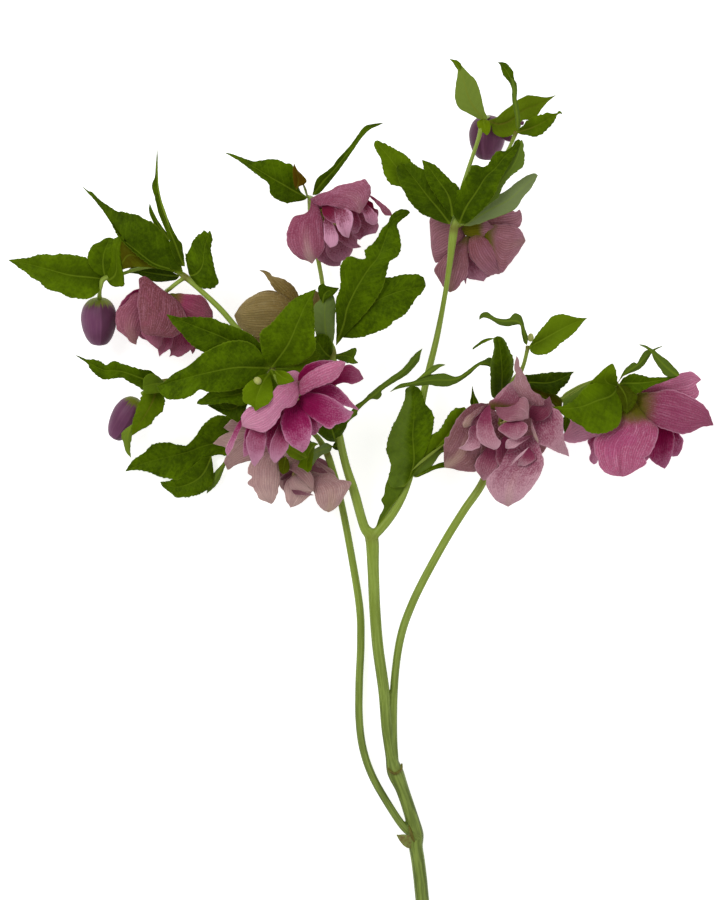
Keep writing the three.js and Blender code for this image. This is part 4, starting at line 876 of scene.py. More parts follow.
         (106, 263.8), (109, 265), (111, 266.5), (113, 269), (115, 272.5), (117, 274.6), (119, 275.8)],
         (29.5, 33, 35, 36, 34.5), 0.4, dict(teeth=0, grey=-0.35)),
    ],
    "tall_left_leaf": [
        ("in", (15, 337.5), (-9, 367.4), [(12, 338), (8, 339.5), (4, 341.2), (1, 342.3), (-1, 344),
         (-5, 348.3), (-7, 351.5), (-9.3, 356), (-11, 360), (-12, 364), (-11.5, 366.5)], [(17, 345),
         (16, 352), (12, 358), (7, 362), (2, 364.5), (-1, 366), (-5, 367.9)],
         (39.5, 43, 45.5, 46.5, 46, 44.5), 0.9, dict(light=-0.3, middle=[(10, 344), (4, 351), (-3, 360)])),
        ("in", (16, 341), (0.8, 369.4), [(11, 347), (6, 354), (3, 360), (2, 364.2), (1.5, 366.5)], [(19, 348),
         (19.6, 355.2), (16, 358.5), (12, 362.5), (8.5, 366), (6, 367.5), (3, 368.7)],
         (42, 47, 49.5, 50, 49.5), -0.8, dict(light=-0.15)),
        ("in", (-1, 356), (-22.6, 379), [(-3, 362), (-2, 366.5), (-4, 368.3), (-5.5, 370.5), (-7, 372),
         (-11, 374.2), (-14, 376), (-18, 378), (-21, 379.4)], [(-6, 354), (-9.5, 356), (-12.5, 356.5),
         (-15.5, 358), (-17.3, 360.5), (-18.5, 364), (-19.3, 368), (-20, 371), (-22, 374), (-23.1, 377)],
         (43, 43, 42, 41, 39), 0.8, dict(light=0.3)),
    ],
    "tall_right_leaf": [
        ("in", (19.5, 337.8), (49, 379.8), [(17, 341.5), (16.4, 345.5), (16.4, 350), (18, 353.5), (19.5, 355),
         (21, 358), (23.5, 362), (25.3, 366), (27.5, 367), (30, 366), (31.5, 365.8), (33.5, 367), (35, 369),
         (36, 371.5), (38.5, 373.7), (42, 373.7), (44, 374.7), (46, 376.5), (47, 378.5)], [(24, 338.5),
         (32, 345.5), (37, 352), (40, 359.5), (44, 366.5), (47.5, 372.5), (50, 378)],
         (39.5, 45, 48, 50, 50, 49, 46), 0.9, dict(light=-0.1)),
        ("out", (28, 342), (50.6, 379.5), [(34, 350.5), (38, 359), (42, 366), (45.5, 372.5), (48.4, 377.5)],
         [(34, 347.2), (38, 350), (39.5, 352), (41, 356), (43.5, 359.5), (46, 362), (50, 365), (51.3, 366.5),
         (52, 370), (52, 372.5), (51.3, 375), (51.5, 377)], (42, 45.5, 47.3, 47.6, 46.6), -0.3, {}),
    ],
    "tall_low_leaf": [
        ("out", (21.5, 336.8), (58.7, 362), [(26, 343.5), (31, 348), (36.5, 352), (40.3, 352.8), (45, 356),
         (50, 360), (53.5, 362), (57, 363)], [(25, 336.8), (30, 338), (36, 340.3), (42, 342.5), (46.5, 344.5),
         (49, 347), (51, 350.5), (55, 355), (57, 358.5)], (38, 39.5, 40.5, 41, 40.5, 39), 0.6,
         dict(grey=0.6, teeth=0.1)),
    ],
    "top_left_leaf": [
        ("out", (31.5, 390), (14.5, 420.2), [(29, 390.3), (24, 392.8), (20, 394.8), (18.5, 396.5),
         (17.7, 399), (17.2, 402), (17.7, 407), (18.3, 411), (18.7, 414), (18, 416), (16.5, 418)],
         [(33.5, 390.5), (32, 394.5), (31, 399), (30, 403), (29, 406.3), (27.5, 409.5), (25, 412),
         (22.5, 414.5), (20, 417.3), (18.5, 419), (17, 419.3)], (36, 40, 42, 42, 38), 0.8,
         dict(light=0.4, grey=0.2, teeth=0.1, stalk=-0.5)),
        ("in", (31.5, 390.5), (33.4, 382), [(28.4, 388.6), (29.6, 385)], [(34.8, 388.4), (34.8, 384)],
         (35.6, 35.8, 34.8), 0.2, dict(teeth=0, light=1, brown=0.1)),
        ("in", (19.7, 413.5), (14.5, 420.2), [(17.9, 415.5), (16.3, 418.1)], [(20.5, 417), (18.5, 419.2),
         (17, 419.5)], (42.4, 41.3, 38.7), 0, dict(teeth=0, light=0.3)),
    ],
    "top_right_leaf": [
        ("in", (34, 389.5), (68.1, 402.4), [(38, 391), (42, 394.5), (45.5, 397), (48.5, 399.7), (51.5, 401.2),
         (54, 402.2), (57, 402), (62, 401.2), (65, 401.5)], [(35.5, 386.5), (36.5, 383.5), (39.5, 381.5),
         (43, 381.3), (47, 382.8), (50, 386), (51, 389.5), (55, 390), (58.5, 392), (60.5, 395), (64, 399)],
         (34.5, 31.5, 30.5, 31, 30.5, 30), 0.8, dict(light=0.7, grey=0.15, teeth=0.1, brown=0.1, stalk=-1)),
    ],
    "twisted_leaf": [
        ("out", (48.7, 385), (45.5, 411.5), [(47.8, 386), (47.5, 389), (47, 393), (46, 397.5), (45.6, 401),
         (45.5, 405), (44.5, 407.7)], [(49.5, 384), (49.8, 387), (49.7, 391), (49, 396), (48, 399.5),
         (48.3, 403), (48, 407), (47, 409)], (39.5, 45, 48, 48), 0.3, dict(teeth=0, grey=-0.1)),
        ("in", (46.8, 404), (38.6, 418.2), [(45.4, 406.5), (42.5, 410), (41, 412), (40.3, 414.5),
         (39.8, 416.5)], [(48, 407), (47, 409), (46.5, 411.5), (46, 414), (44, 416.5), (42, 418)],
         (48.4, 48.6, 47.5, 44.5), 0.2, {}),
    ],
    "small_low_leaf": [
        ("in", (47.6, 383.6), (68.3, 393), [(51.5, 387), (53, 389), (56, 391), (60, 392.2), (63, 393.2),
         (66, 392.7)], [(50.5, 382.2), (53, 382), (55, 381.3), (57.5, 380.9), (60, 382), (63, 384.5),
         (65.5, 387), (67.5, 390)], (38.8, 41, 41.5, 41, 39.6), 0.8, dict(light=0.2, stalk=-0.6)),
        ("in", (67.6, 391.5), (70.9, 392.6), [(68.4, 393.3), (69.3, 394.1), (70.3, 393.7)], [(68.6, 392.3),
         (69.4, 393), (70.2, 392.9)], (40, 39.6, 38.6), 0, dict(teeth=0, light=0.2)),
    ],
    "crown_left_leaf": [
        ("in", (-56, 351.5), (-97.7, 373.7), [(-60, 355), (-63.5, 366.8), (-67, 368.2), (-70.5, 369.8),
         (-75, 370.3), (-79, 369.8), (-82.5, 369.2), (-86, 370), (-90, 371.5), (-94, 373)], [(-58, 350),
         (-63.5, 348.8), (-66.5, 348.3), (-69, 349), (-72.5, 350.8), (-74.8, 353), (-75.5, 357.5),
         (-78, 359.8), (-82, 362.8), (-90, 369)], (21, 26, 30, 31.5, 30, 26), 1.2, dict(light=-0.1,
         middle=[(-62, 354), (-68, 357.5), (-76, 362), (-86, 368)])),
    ],
    "crown_brown_leaf": [
        ("in", (-61.8, 355), (-62.9, 368), [(-62.8, 357), (-63.4, 360), (-63.6, 364)], [(-60.3, 356.6),
         (-58, 357.6), (-56.6, 359.2), (-58, 361.5), (-61, 364.5)], (30, 33, 36, 38), 0.4,
         dict(teeth=0, brown=1)),
        ("in", (-56, 352.3), (-58.5, 358.8), [(-57.8, 355.6)], [(-56.9, 355.6)], (22, 27, 33.5), 0,
         dict(teeth=0, brown=0.9, light=-0.6)),
    ],
    "crown_right_leaf": [
        ("in", (-53.8, 352.5), (-18.2, 388.4), [(-52.3, 359), (-50.5, 361.7), (-44.5, 366), (-40.5, 371),
         (-35, 377), (-31, 382.5), (-27.5, 386.8), (-21, 388.3)], [(-50.5, 353.2), (-45.5, 358.5),
         (-39.5, 366), (-34, 373.8), (-29, 381), (-25, 385), (-20.5, 387.2)], (21.5, 27, 31, 31.5, 31, 28),
         0.6, dict(teeth=0.1)),
    ],
}

# the bracts that stand before the pale bloom, off its ring
PALE_BRACTS = [
    ("in", (-50.5, 228), (-56, 213.7), [(-54.5, 229), (-57.3, 226), (-58.8, 221), (-61, 217), (-58.3, 215.5)],
     [(-52.5, 226.5), (-53.5, 220), (-54.3, 215.5)], (22, 31, 37, 38), 0.8, dict(light=0.5, teeth=0.3)),
    ("out", (-43.8, 227), (-56.5, 216.5), [(-47, 228.6), (-50.5, 226.8), (-53, 225.6), (-56.5, 227),
     (-58, 222)], [(-45, 224.3), (-48, 222.8), (-51.5, 220.5), (-54, 217)], (17, 22, 26, 29, 32), 0.5,
     dict(teeth=0, ruffle=1.2, grey=0.35)),
    ("in", (-56.5, 221), (-68.3, 227), [(-58.5, 225.5), (-63, 228.5)], [(-60.5, 219.8), (-65.5, 222.3)],
     (37.5, 38.5, 38), 0.5, dict(light=0.9, teeth=0, grey=0.3)),
    ("in", (-67, 222), (-68.6, 212.8), [(-70.5, 219.5), (-70.3, 215)], [(-65.3, 218.5), (-65.6, 214.5)],
     (31, 31.5, 31), 0.3, dict(light=0.2, brown=0.4, teeth=0)),
    ("in", (-42, 229), (-47, 243.5), [(-46, 229.6), (-50.5, 233), (-54, 238)], [(-39.5, 232), (-36.5, 237.5),
     (-38, 242)], (22, 31, 33, 34), 0.5, dict(teeth=0.2, light=-0.3)),
]


# ---- The stem: every run is (x, y, z, radius), thicker at each ring of bracts ----
STEM_RUNS = [
    # the thick end, the sheath, the collar that three stems leave, the fork, the ring behind the great lobed
    # leaf, and the ring above the crown bloom
    [(1.8, -6, 3.33, 3.5), (0.7, 5, 3.33, 3.5), (0.1, 11, 3.33, 3.5), (-0.9, 19, 3.7, 3.5),
     (-2, 26, 4.2, 3.6), (-2.3, 32, 4.8, 4.3), (-3.9, 40, 5.6, 3.5), (-8.5, 54, 7.2, 3.4),
     (-12.3, 63.5, 8, 4.2), (-14.6, 72, 8.5, 2.8), (-16.6, 86, 9.5, 2.8), (-18, 104, 10.5, 2.9),
     (-21, 126, 12, 2.9), (-22.6, 146, 13.5, 2.9), (-23.4, 166, 15.5, 3), (-24.2, 181, 17, 3.4),
     (-28, 187, 18, 2.5), (-33, 204.5, 22, 2.4), (-37.5, 219, 24, 2.1), (-41.5, 238, 26, 2.1),
     (-43.7, 256, 28, 2), (-43.7, 273, 29, 2.1), (-45.5, 282, 25, 1.3), (-48.8, 308, 12, 1.2),
     (-50.8, 319.5, 7, 1.2), (-54.5, 338, 8, 1.2), (-54.6, 351.2, 20, 1.9)],
    # the thin stem on the left, to the ring above the pale bloom
    [(-2.5, 31, 5, 1.7), (-7.8, 35.5, 6.5, 2), (-14.6, 45.3, 7, 2), (-23.4, 60.5, 6, 2), (-28.4, 74.7, 5, 2),
     (-30.4, 90, 5, 2), (-30.4, 108, 5, 2), (-29.6, 128, 5, 2), (-30.3, 147, 5, 2), (-35.3, 177.6, 6, 1.9),
     (-40.3, 202.6, 6, 1.8), (-43.4, 214, 7.5, 1.8), (-46.6, 223.4, 11.5, 1.9), (-50.4, 230.2, 14, 1.5),
     (-53.4, 233.4, 16, 1.3)],
    # a very short twig off the ring above the crown bloom
    [(-54.6, 351.2, 20, 1.2), (-56.6, 352.6, 24, 0.6), (-58.3, 357.6, 29, 0.55)],
    # the side branch to the ring behind the pink bloom, the two rings on the far left, and the left bud
    [(-41.5, 238, 26, 1.8), (-52, 251, 32, 1.5), (-64, 261, 40, 1.4), (-73.7, 265.4, 45, 1.9),
     (-80.8, 275.8, 41, 1.3), (-90, 284.2, 38, 1.5), (-99.7, 295.4, 37, 1.5), (-110.7, 305.7, 36, 1.4),
     (-117, 311.3, 34, 1.7), (-122.5, 314.5, 33.5, 1.1), (-131.5, 316.6, 32.5, 1), (-141, 315.4, 31.5, 1),
     (-150, 312.6, 30, 1), (-157.9, 310.5, 32.5, 1.4), (-159.4, 306.3, 32.5, 1), (-160.2, 303, 26, 1.1),
     (-160.3, 301, 22, 1.4)],
    # to the ring above the lower bud
    [(-73.7, 265.4, 45, 1.8), (-86, 262, 36, 1.4), (-105, 260, 27, 1.3), (-128, 259, 24, 1.7),
     (-135, 255.5, 20, 1.2), (-139.4, 252.9, 18, 1.3)],
    # the right branch, under the forked leaf, to the tall ring, the topmost one and the top bud
    [(-24.2, 181, 17, 2.4), (-18.2, 187.5, 18, 2.5), (-13, 194.5, 19, 2.4), (-9, 201.5, 20.5, 2.1),
     (-5.9, 208.3, 21, 1.6), (-3.8, 216, 19, 1.5), (-2, 230, 15, 1.6), (2.5, 256.3, 15, 1.8),
     (8.2, 280.3, 20, 1.6), (12, 300, 28, 1.35), (14.5, 316, 34, 1.5), (16.9, 335.5, 37, 2.2),
     (20.5, 354, 38, 1.1), (23.8, 364.5, 37, 1.1), (29, 380, 35, 1.1), (31.5, 389.3, 34, 1.6),
     (33.4, 391.2, 29, 1), (34, 391.4, 24, 1.2)],
    [(16.9, 335.5, 37, 1.2), (33, 356, 35.5, 1), (44, 375, 36, 0.9), (48, 383.9, 38, 1.3)],
    # the stem on the right, under the double bloom, and what leaves its ring
    [(-12.3, 63.5, 8, 2.2), (-13.2, 80.6, 8, 2), (-13.2, 100, 8, 2.1), (-11.8, 118, 8, 2),
     (-9, 133.5, 8, 2.1), (-4.4, 146.5, 8, 2.1), (2, 160, 8, 2.1), (13, 180, 9, 2.1), (22, 194.5, 9.5, 2.1),
     (32, 209.7, 10, 2.1), (39, 230, 11, 1.8), (45, 255, 14, 2.2), (51.1, 265.5, 17, 1.15),
     (53.6, 274.5, 20, 1.1), (54, 277.2, 20, 1.3)],
    [(45, 255, 14, 1.6), (57, 250, 9, 1.6), (68, 249, 9, 1.6), (80.3, 255.3, 16, 1.6), (90, 259.5, 23, 1.6),
     (98.5, 257.5, 28, 2)],
]
RINGS = [(-2.3, 32, 4.8), (-12.3, 63.5, 8), (-24.2, 181, 17), (-43.7, 273, 29), (-54.6, 351.2, 20),
         (-46, 224, 12), (-73.7, 265.4, 45), (-117, 311.3, 34), (-158.2, 310.5, 28), (-128, 259, 24),
         (16.9, 335.5, 37), (31.5, 389.5, 34), (48, 383.9, 38), (45, 255, 14), (54, 277.2, 20),
         (98.5, 257.5, 28)]

# the sheaths of two fallen leaves, at the stem's lower rings: the blade of the lower one, what is left of the
# upper one as a rim around the stem, and dry bark that lines the corner over the lower one
SHEATH_RIB = [(-3.4, 25.5, 6.2), (-7, 28, 7.7), (-11.6, 31.9, 7.2)]
SHEATH_RIM = [(-16, 67.2, 8.5, 0.4), (-15.7, 65.4, 10.2, 0.75), (-14.4, 63.6, 11.9, 0.75),
              (-12.4, 62.8, 12.3, 0.8), (-10.6, 63.6, 11.7, 0.75), (-9.3, 65.4, 9.9, 0.75),
              (-9, 67.6, 8.2, 0.4)]
SHEATH_BARK = [(-5.4, 36.6, 8.2, 0.3), (-4.6, 33.4, 8.9, 0.9), (-3.4, 30, 8.7, 0.7), (-2.4, 28, 7.8, 0.3)]


# ---- Blooms: centre of the disc, the way the mouth looks, and the stalk. A traced petal gives the face that
# is turned up, its base and tip, both margins between them, the heights from base to tip, how far its margins
# bend to the inner face, and options. A hidden petal gives the face that is turned up, its half width and its
# rib ----
BLOOMS = {
    "left_bloom": dict(
        palette="mauve", centre=(-127.8, 299.5, 24), mouth=(-0.18, -0.93, -0.3), stalk=[(-117, 311.3, 34),
         (-121, 308.6, 36), (-124.8, 305.6, 34)],
        traced=[
            ("out", (-127.2, 303.4), (-132.5, 282.2), [(-131.5, 306.8), (-135.5, 310.6), (-138.2, 311.7),
             (-140.4, 309.7), (-140.2, 304.5), (-141.2, 299), (-140, 291), (-139.2, 285.2), (-137, 282.4)],
             [(-122.5, 301), (-118.5, 296), (-116.5, 290), (-118.5, 284.5), (-122, 281.6), (-127, 281.2)],
             (32, 38, 41, 41, 38), 4, dict(green=0.2)),
            ("out", (-133, 303), (-141.8, 277.6), [(-139, 303.8), (-143.5, 303), (-147.5, 298), (-151.3, 295),
             (-152, 290), (-151.3, 285.2), (-147.6, 282.2), (-144.6, 278.9)], [(-135, 293), (-138, 286),
             (-139.7, 284.5), (-140.9, 281)], (24, 31, 33, 29), 3, dict(light=0.2, deep=0.2, strip=0.6)),
            ("in", (-133, 303), (-146, 290), [(-138, 305.3), (-142.5, 305.2), (-147, 301.7), (-150.5, 296.8),
             (-150, 292)], [(-138, 295), (-142, 291)], (22, 25, 25), 2, dict(deep=0.5)),
            ("out", (-127.5, 302.8), (-103.5, 291.5), [(-121.5, 303.2), (-115, 302.7), (-109.5, 302.3),
             (-107, 300.4), (-105.3, 297), (-103.8, 294.3)], [(-123, 296), (-117, 290.5), (-110, 287.5),
             (-105.5, 288.5)], (29, 34, 31, 25), 3, dict(green=0.6, deep=0.6, light=0.15)),
            ("out", (-132, 290), (-131.2, 275.4), [(-137, 286), (-139.4, 284), (-137.5, 281), (-134, 277.5)],
             [(-128, 286), (-128.3, 281), (-129.3, 277.6)], (29, 31, 30, 28), 1.5,
             dict(light=0.45, deep=0.4)),
            ("in", (-127, 292), (-130.3, 271.6), [(-131.5, 284), (-131.3, 278), (-131, 274.5)],
             [(-123.5, 284), (-124, 277), (-126.5, 274.6), (-128.8, 273.2)], (24, 24, 24), 1,
             dict(light=0.45, deep=0.3)),
            ("in", (-121, 294), (-125.5, 271.6), [(-126.5, 284), (-125.5, 277), (-124.7, 274)], [(-113, 286),
             (-111.5, 279), (-114.8, 275), (-117.8, 272.8), (-121, 271.5), (-123.4, 272.5)], (20, 20, 21),
             1.5, dict(light=0.45, deep=0.5)),
            ("in", (-118, 292), (-114, 273), [(-117.5, 283), (-115.3, 276.5)], [(-109, 284), (-109.5, 279.5),
             (-112, 276), (-113, 274)], (17, 17, 17), 1, dict(light=0.2)),
        ],
        hidden=[
            ("in", 9, [(-128, 300, 14), (-133, 290, 6), (-137, 280, 4)]),
            ("in", 8, [(-126, 299, 13), (-122, 289, 5), (-119, 280, 4)]),
            ("in", 7, [(-130, 301, 17), (-139, 293, 12), (-145, 287, 12)]),
        ]),
    "tan_bloom": dict(
        palette="olive", centre=(-60.5, 292.5, 17), mouth=(-0.95, 0.15, -0.2), stalk=[(-43.7, 273, 29),
         (-50, 286, 20)],
        traced=[
            ("out", (-61.5, 293), (-93, 292.3), [(-64.5, 299.5), (-70, 303.3), (-78, 304.1), (-84.5, 301.7),
             (-89.5, 297.6)], [(-66, 286), (-73, 282), (-80, 281.4), (-86, 283.2), (-90.5, 286.8)],
             (20, 26, 27, 26, 20), 4, dict(light=0.15)),
            ("out", (-57.5, 292), (-52.3, 304.8), [(-57, 299)], [(-50, 293.5), (-49.8, 298.5), (-50.3, 303)],
             (18, 24, 25), 0.6, dict(light=-0.2)),
            ("out", (-62, 293), (-80.5, 315.1), [(-66, 297.5), (-71, 303.2), (-74.6, 308), (-77.8, 313.2)],
             [(-60.5, 301), (-62.5, 305.7), (-66.5, 309.6), (-70.5, 311.2), (-73.8, 312), (-75.3, 313.9),
             (-78, 314.9)], (19, 22, 23, 19), 1.5, {}),
        ],
        hidden=[
            ("in", 7, [(-64, 291, 15), (-74, 286, 10), (-84, 284, 10)]),
            ("in", 8, [(-64, 294, 12), (-74, 297, 7), (-84, 297, 5)]),
            ("in", 8, [(-64, 291, 11), (-74, 290, 4), (-85, 290, 1)]),
        ]),
    "crown_bloom": dict(
        palette="rose", centre=(-51, 345.5, 29), mouth=(0.62, -0.7, 0.35), stalk=[(-54.6, 351.2, 20),
         (-55, 350.6, 25)],
        traced=[
            ("out", (-54.3, 350.3), (-53.9, 317.8), [(-55, 345.5), (-57.5, 342.9), (-62.5, 341.6),
             (-64.5, 339), (-66.4, 333.5), (-66.3, 328), (-63.5, 323.2), (-59.5, 320.2), (-56, 319.2)],
             [(-51, 346.5), (-48.7, 340), (-47.8, 334), (-47.4, 328), (-49, 323), (-51.8, 320.6)],
             (32, 40, 43, 43, 38), 4.5, dict(strip=1, deep=0.25)),
            ("out", (-55.2, 350.2), (-30.2, 342.8), [(-50.5, 352.6), (-45, 354.3), (-41, 356.7), (-35, 358),
             (-30, 359.3), (-27.3, 359.8), (-24.9, 356.3), (-24.7, 352.5), (-27, 347.5)], [(-51.5, 347.3),
             (-46.5, 346.8), (-41, 345.8), (-35.5, 344.4), (-32.4, 343.8)], (33, 42, 46, 46, 43), 3,
             dict(strip=0.3)),
            ("out", (-27, 353), (-13.7, 341.8), [(-23.5, 351.3), (-19, 348), (-15.5, 345.2)], [(-23.2, 349.3),
             (-20.5, 346.3), (-19.5, 344.8), (-17.5, 342.2)], (38, 37, 34), 0.5, {}),
            ("in", (-30, 350), (-20.9, 341.5), [(-26.5, 350), (-24, 348.6), (-23, 345.8), (-21, 344.6)],
             [(-27, 343), (-24, 341)], (33, 34, 33), 1, dict(deep=1)),
            ("in", (-28.4, 349), (-23.7, 337.1), [(-28.3, 343), (-27, 339.5), (-25.6, 338)], [(-25, 346),
             (-21.6, 342.5), (-20.9, 339.8), (-22, 337.6)], (37, 40, 38), 1.5, dict(light=0.5)),
            ("in", (-38, 344), (-22.1, 333.3), [(-30, 344), (-24, 341.5), (-21, 338.5), (-21, 335.5)],
             [(-36, 336), (-31, 330.2), (-28.3, 331.7), (-25, 332.8)], (24, 24, 28), 2,
             dict(light=0.3, deep=0.3)),
            ("in", (-43, 342), (-29.3, 326.5), [(-37, 337), (-31.8, 331), (-31.4, 328.6)], [(-42, 332),
             (-36, 326.5), (-32.5, 325.9)], (20, 20, 24), 1.5, dict(light=0.3)),
            ("in", (-47, 340), (-40.5, 319.1), [(-39, 335), (-34.5, 328), (-33.7, 324.5), (-36, 321.2)],
             [(-47, 330), (-46.5, 323), (-44, 320)], (20, 18, 22), 2, dict(light=0.35)),
            ("in", (-49, 338), (-40, 317.2), [(-43, 330), (-39.3, 322), (-39.5, 318.8)], [(-52, 330),
             (-51.8, 321.5), (-48, 318.3), (-44, 317)], (17, 16, 19), 2, dict(light=0.4)),
            ("in", (-49, 346.7), (-41, 338), [(-46, 347.4), (-42, 345.5), (-40, 341)], [(-48.6, 342.5),
             (-46.7, 340), (-43.5, 338.2)], (38, 41, 43), 1.5, dict(deep=0.6)),
            ("in", (-43, 346), (-35.5, 330.7), [(-38, 345.5), (-34, 343.3), (-33.6, 338.5), (-34.7, 334)],
             [(-42.5, 341), (-41.8, 337), (-40.5, 334), (-38.3, 331.5)], (40, 45, 46, 43), 1.2,
             dict(light=1, deep=0.1, crease=1)),
            ("in", (-47.3, 343), (-44.8, 325.8), [(-44, 338.5), (-41.6, 334), (-40.7, 330), (-41.6, 327.2)],
             [(-48.2, 337), (-48, 331), (-46.8, 328)], (35, 40, 41), 1.2, dict(light=1, deep=0.2)),
            ("in", (-36, 346), (-33.5, 332.8), [(-31.5, 343.5), (-29.7, 338), (-30.5, 334)], [(-35, 340),
             (-35, 336)], (33, 35, 33), 1, dict(light=0.1)),
        ],
        hidden=[
            ("in", 7, [(-49, 343, 22), (-50, 334, 12), (-50, 326, 8)]),
            ("in", 7, [(-47, 344, 21), (-40, 338, 11), (-34, 333, 8)]),
            ("in", 6, [(-46, 347, 24), (-36, 347, 18), (-28, 345, 16)]),
        ]),
    "tall_bloom": dict(
        palette="dusk", centre=(28.5, 334, 25), mouth=(-0.1, -0.8, -0.55), stalk=[(16.9, 335.5, 37),
         (22, 338.6, 34), (26.5, 339, 30)],
        traced=[
            ("out", (25, 335.8), (5.6, 327), [(17, 340.5), (10, 341.7), (5.2, 341.2), (5, 336)], [(20, 328),
             (14, 322), (8.5, 318.7), (6.5, 321.8)], (28, 29, 26, 20), 2.5, dict(light=0.15)),
            ("out", (25.5, 334.5), (15, 303.8), [(17, 326), (10, 319.5), (7.1, 315.2), (9, 311),
             (11.8, 306.6)], [(24, 325), (24, 317), (23.3, 311.5), (21.2, 309.3), (19, 306)],
             (29, 31, 28, 20), 3, dict(green=0.1, strip=0.8)),
            ("in", (24, 322), (22.9, 307.9), [(22.3, 314), (22.1, 310.5)], [(25.2, 314), (23.6, 311.2)],
             (20, 19, 17), 0.5, {}),
            ("in", (27, 326), (32, 309.4), [(24, 318), (23.4, 312.5), (25.5, 310.7), (29, 310)], [(30.5, 321),
             (31, 316), (33.4, 312.3)], (22, 20, 17), 1, dict(light=0.4)),
            ("out", (20.5, 335.5), (37, 336.5), [(26, 339.6), (32, 339.8)], [(24, 331.6), (32, 331.8)],
             (31, 32.5, 31), 1, dict(green=1, light=-0.2)),
            ("out", (28.5, 334.5), (39.6, 312.9), [(24.3, 329.5), (24.6, 322.5), (27, 318.6), (33, 313),
             (36, 312.4), (37.8, 313.2)], [(37, 327), (41, 320), (42, 315.5)], (31, 33, 30, 21), 2.5,
             dict(deep=0.25)),
            ("out", (28.5, 335.5), (52.9, 329.7), [(37, 337.5), (44, 338), (49.1, 336.2), (51.3, 333.6)],
             [(33, 329), (38, 320), (40.6, 313.7), (44.5, 317.8), (49, 323.5)], (30, 32, 29, 19), 3,
             dict(strip=0.5, green=0.35)),
            ("out", (27, 338.3), (50.9, 343.5), [(38, 343), (45, 345), (48, 344.1), (49.7, 345.5)],
             [(36, 337), (44, 336.5), (49, 336.4), (51.1, 339.5)], (27, 28, 25, 17), 2, {}),
        ],
        hidden=[
            ("in", 9, [(28, 330, 14), (29, 320, 5), (30, 311, 2)]),
            ("in", 8, [(26, 331, 14), (19, 324, 5), (14, 318, 3)]),
            ("in", 8, [(31, 331, 14), (39, 326, 5), (44, 321, 3)]),
            ("in", 5, [(27, 328, 19), (24, 318, 13), (23, 312, 12)]),
        ]),
    "pink_bloom": dict(
        palette="magenta", centre=(-65, 253.6, 54), mouth=(0.5, -0.76, 0.42), reach=0.3,
         stalk=[(-73.7, 265.4, 45), (-72, 261, 50), (-69.6, 257.6, 53)],
        traced=[
            ("out", (-60.8, 259.8), (-88.6, 236.8), [(-66, 257.8), (-71.5, 256.3), (-74.2, 251.7),
             (-80, 247.2), (-85, 246.2), (-88.7, 242)], [(-60.3, 252), (-63, 246.8), (-68, 245.3),
             (-70.3, 240.5), (-74, 236), (-78, 233.8), (-83, 235)], (58, 66, 70, 69, 62), 2.5,
             dict(light=0.3, strip=0.3)),
            ("in", (-86, 243), (-95.9, 221.9), [(-90.5, 238.5), (-94, 231.5), (-96.8, 225.5)], [(-88, 238.5),
             (-91, 232), (-93.5, 226)], (58, 60, 54), 0.3, dict(light=0.2)),
            ("in", (-76, 243), (-82.3, 216.7), [(-83, 238), (-86.5, 230), (-85.6, 224), (-84, 219)],
             [(-76.5, 237), (-76.6, 229), (-78, 222.5), (-80.2, 219.5)], (52, 60, 60, 55), 1.5,
             dict(light=0.6, deep=0.8)),
            ("in", (-80, 240), (-88, 221.4), [(-86.5, 236), (-88, 228)], [(-82, 230), (-85, 223.5)],
             (47, 49, 47), 1, dict(deep=0.2)),
            ("in", (-68, 246), (-74.3, 221.5), [(-76, 236), (-77, 229), (-75.5, 224)], [(-68, 236),
             (-69, 228), (-72, 223)], (48, 52, 49), 1.5, dict(deep=0.6)),
            ("in", (-66, 244), (-71.7, 218.6), [(-71, 236), (-74.5, 228), (-74.9, 222.5), (-73.3, 219.4)],
             [(-64, 236), (-65, 228.5), (-67.5, 223), (-69.8, 220.6)], (52, 59, 61, 58), 1.5,
             dict(light=0.65, deep=1)),
            ("in", (-62.5, 250.5), (-58.5, 223.7), [(-67.5, 245), (-69.3, 238), (-67.5, 231), (-64.8, 227.8),
             (-61.3, 225.3)], [(-57, 245), (-54, 238), (-54.4, 231), (-56.3, 226)], (53, 59, 61, 58), 2,
             dict(deep=0.2)),
            ("in", (-59, 246), (-52.3, 232.5), [(-57, 238), (-55, 233)], [(-53, 242), (-50.5, 238),
             (-50.5, 234.5)], (52, 57, 55), 1, dict(light=-0.3)),
            ("in", (-62, 250.5), (-33.1, 243.9), [(-56, 253.5), (-48, 252.6), (-41, 249.1), (-36.5, 245.4)],
             [(-58, 244.5), (-52, 239.5), (-48, 236.8), (-44.6, 235.4), (-41.8, 237.7), (-39.8, 238.1),
             (-35.5, 240.2)], (54, 61, 64, 63), 2, dict(deep=0.4)),
            ("in", (-61, 251.5), (-30.2, 244.5), [(-55, 254.9), (-49, 257), (-44.5, 257.6), (-40, 255.6),
             (-35.5, 250.3), (-32.3, 247)], [(-54, 252.5), (-46, 250.5), (-39, 247.4), (-34, 245.9)],
             (53, 58, 59, 58), 1.5, dict(light=-0.15)),
            ("out", (-60.8, 256), (-37.1, 268.4), [(-58.5, 261), (-52, 265.5), (-46, 268), (-40.5, 269.4)],
             [(-59.3, 252.2), (-52, 255.8), (-46, 257.8), (-42, 259.8), (-38.8, 264.3)], (58, 67, 71, 70, 66),
             2.5, dict(light=0.1, deep=0.1)),
            ("in", (-61, 259), (-41, 268.7), [(-60, 263.5), (-56, 267.5), (-50, 269.4), (-45, 269.6)],
             [(-54, 262), (-47, 265)], (56, 61, 62), 1, dict(deep=0.7)),
            ("out", (-60.2, 257), (-67.5, 263.6), [(-59, 261.5), (-62, 264.4)], [(-65, 259)], (51, 53, 52),
             0.5, dict(green=0.3, light=0.3)),
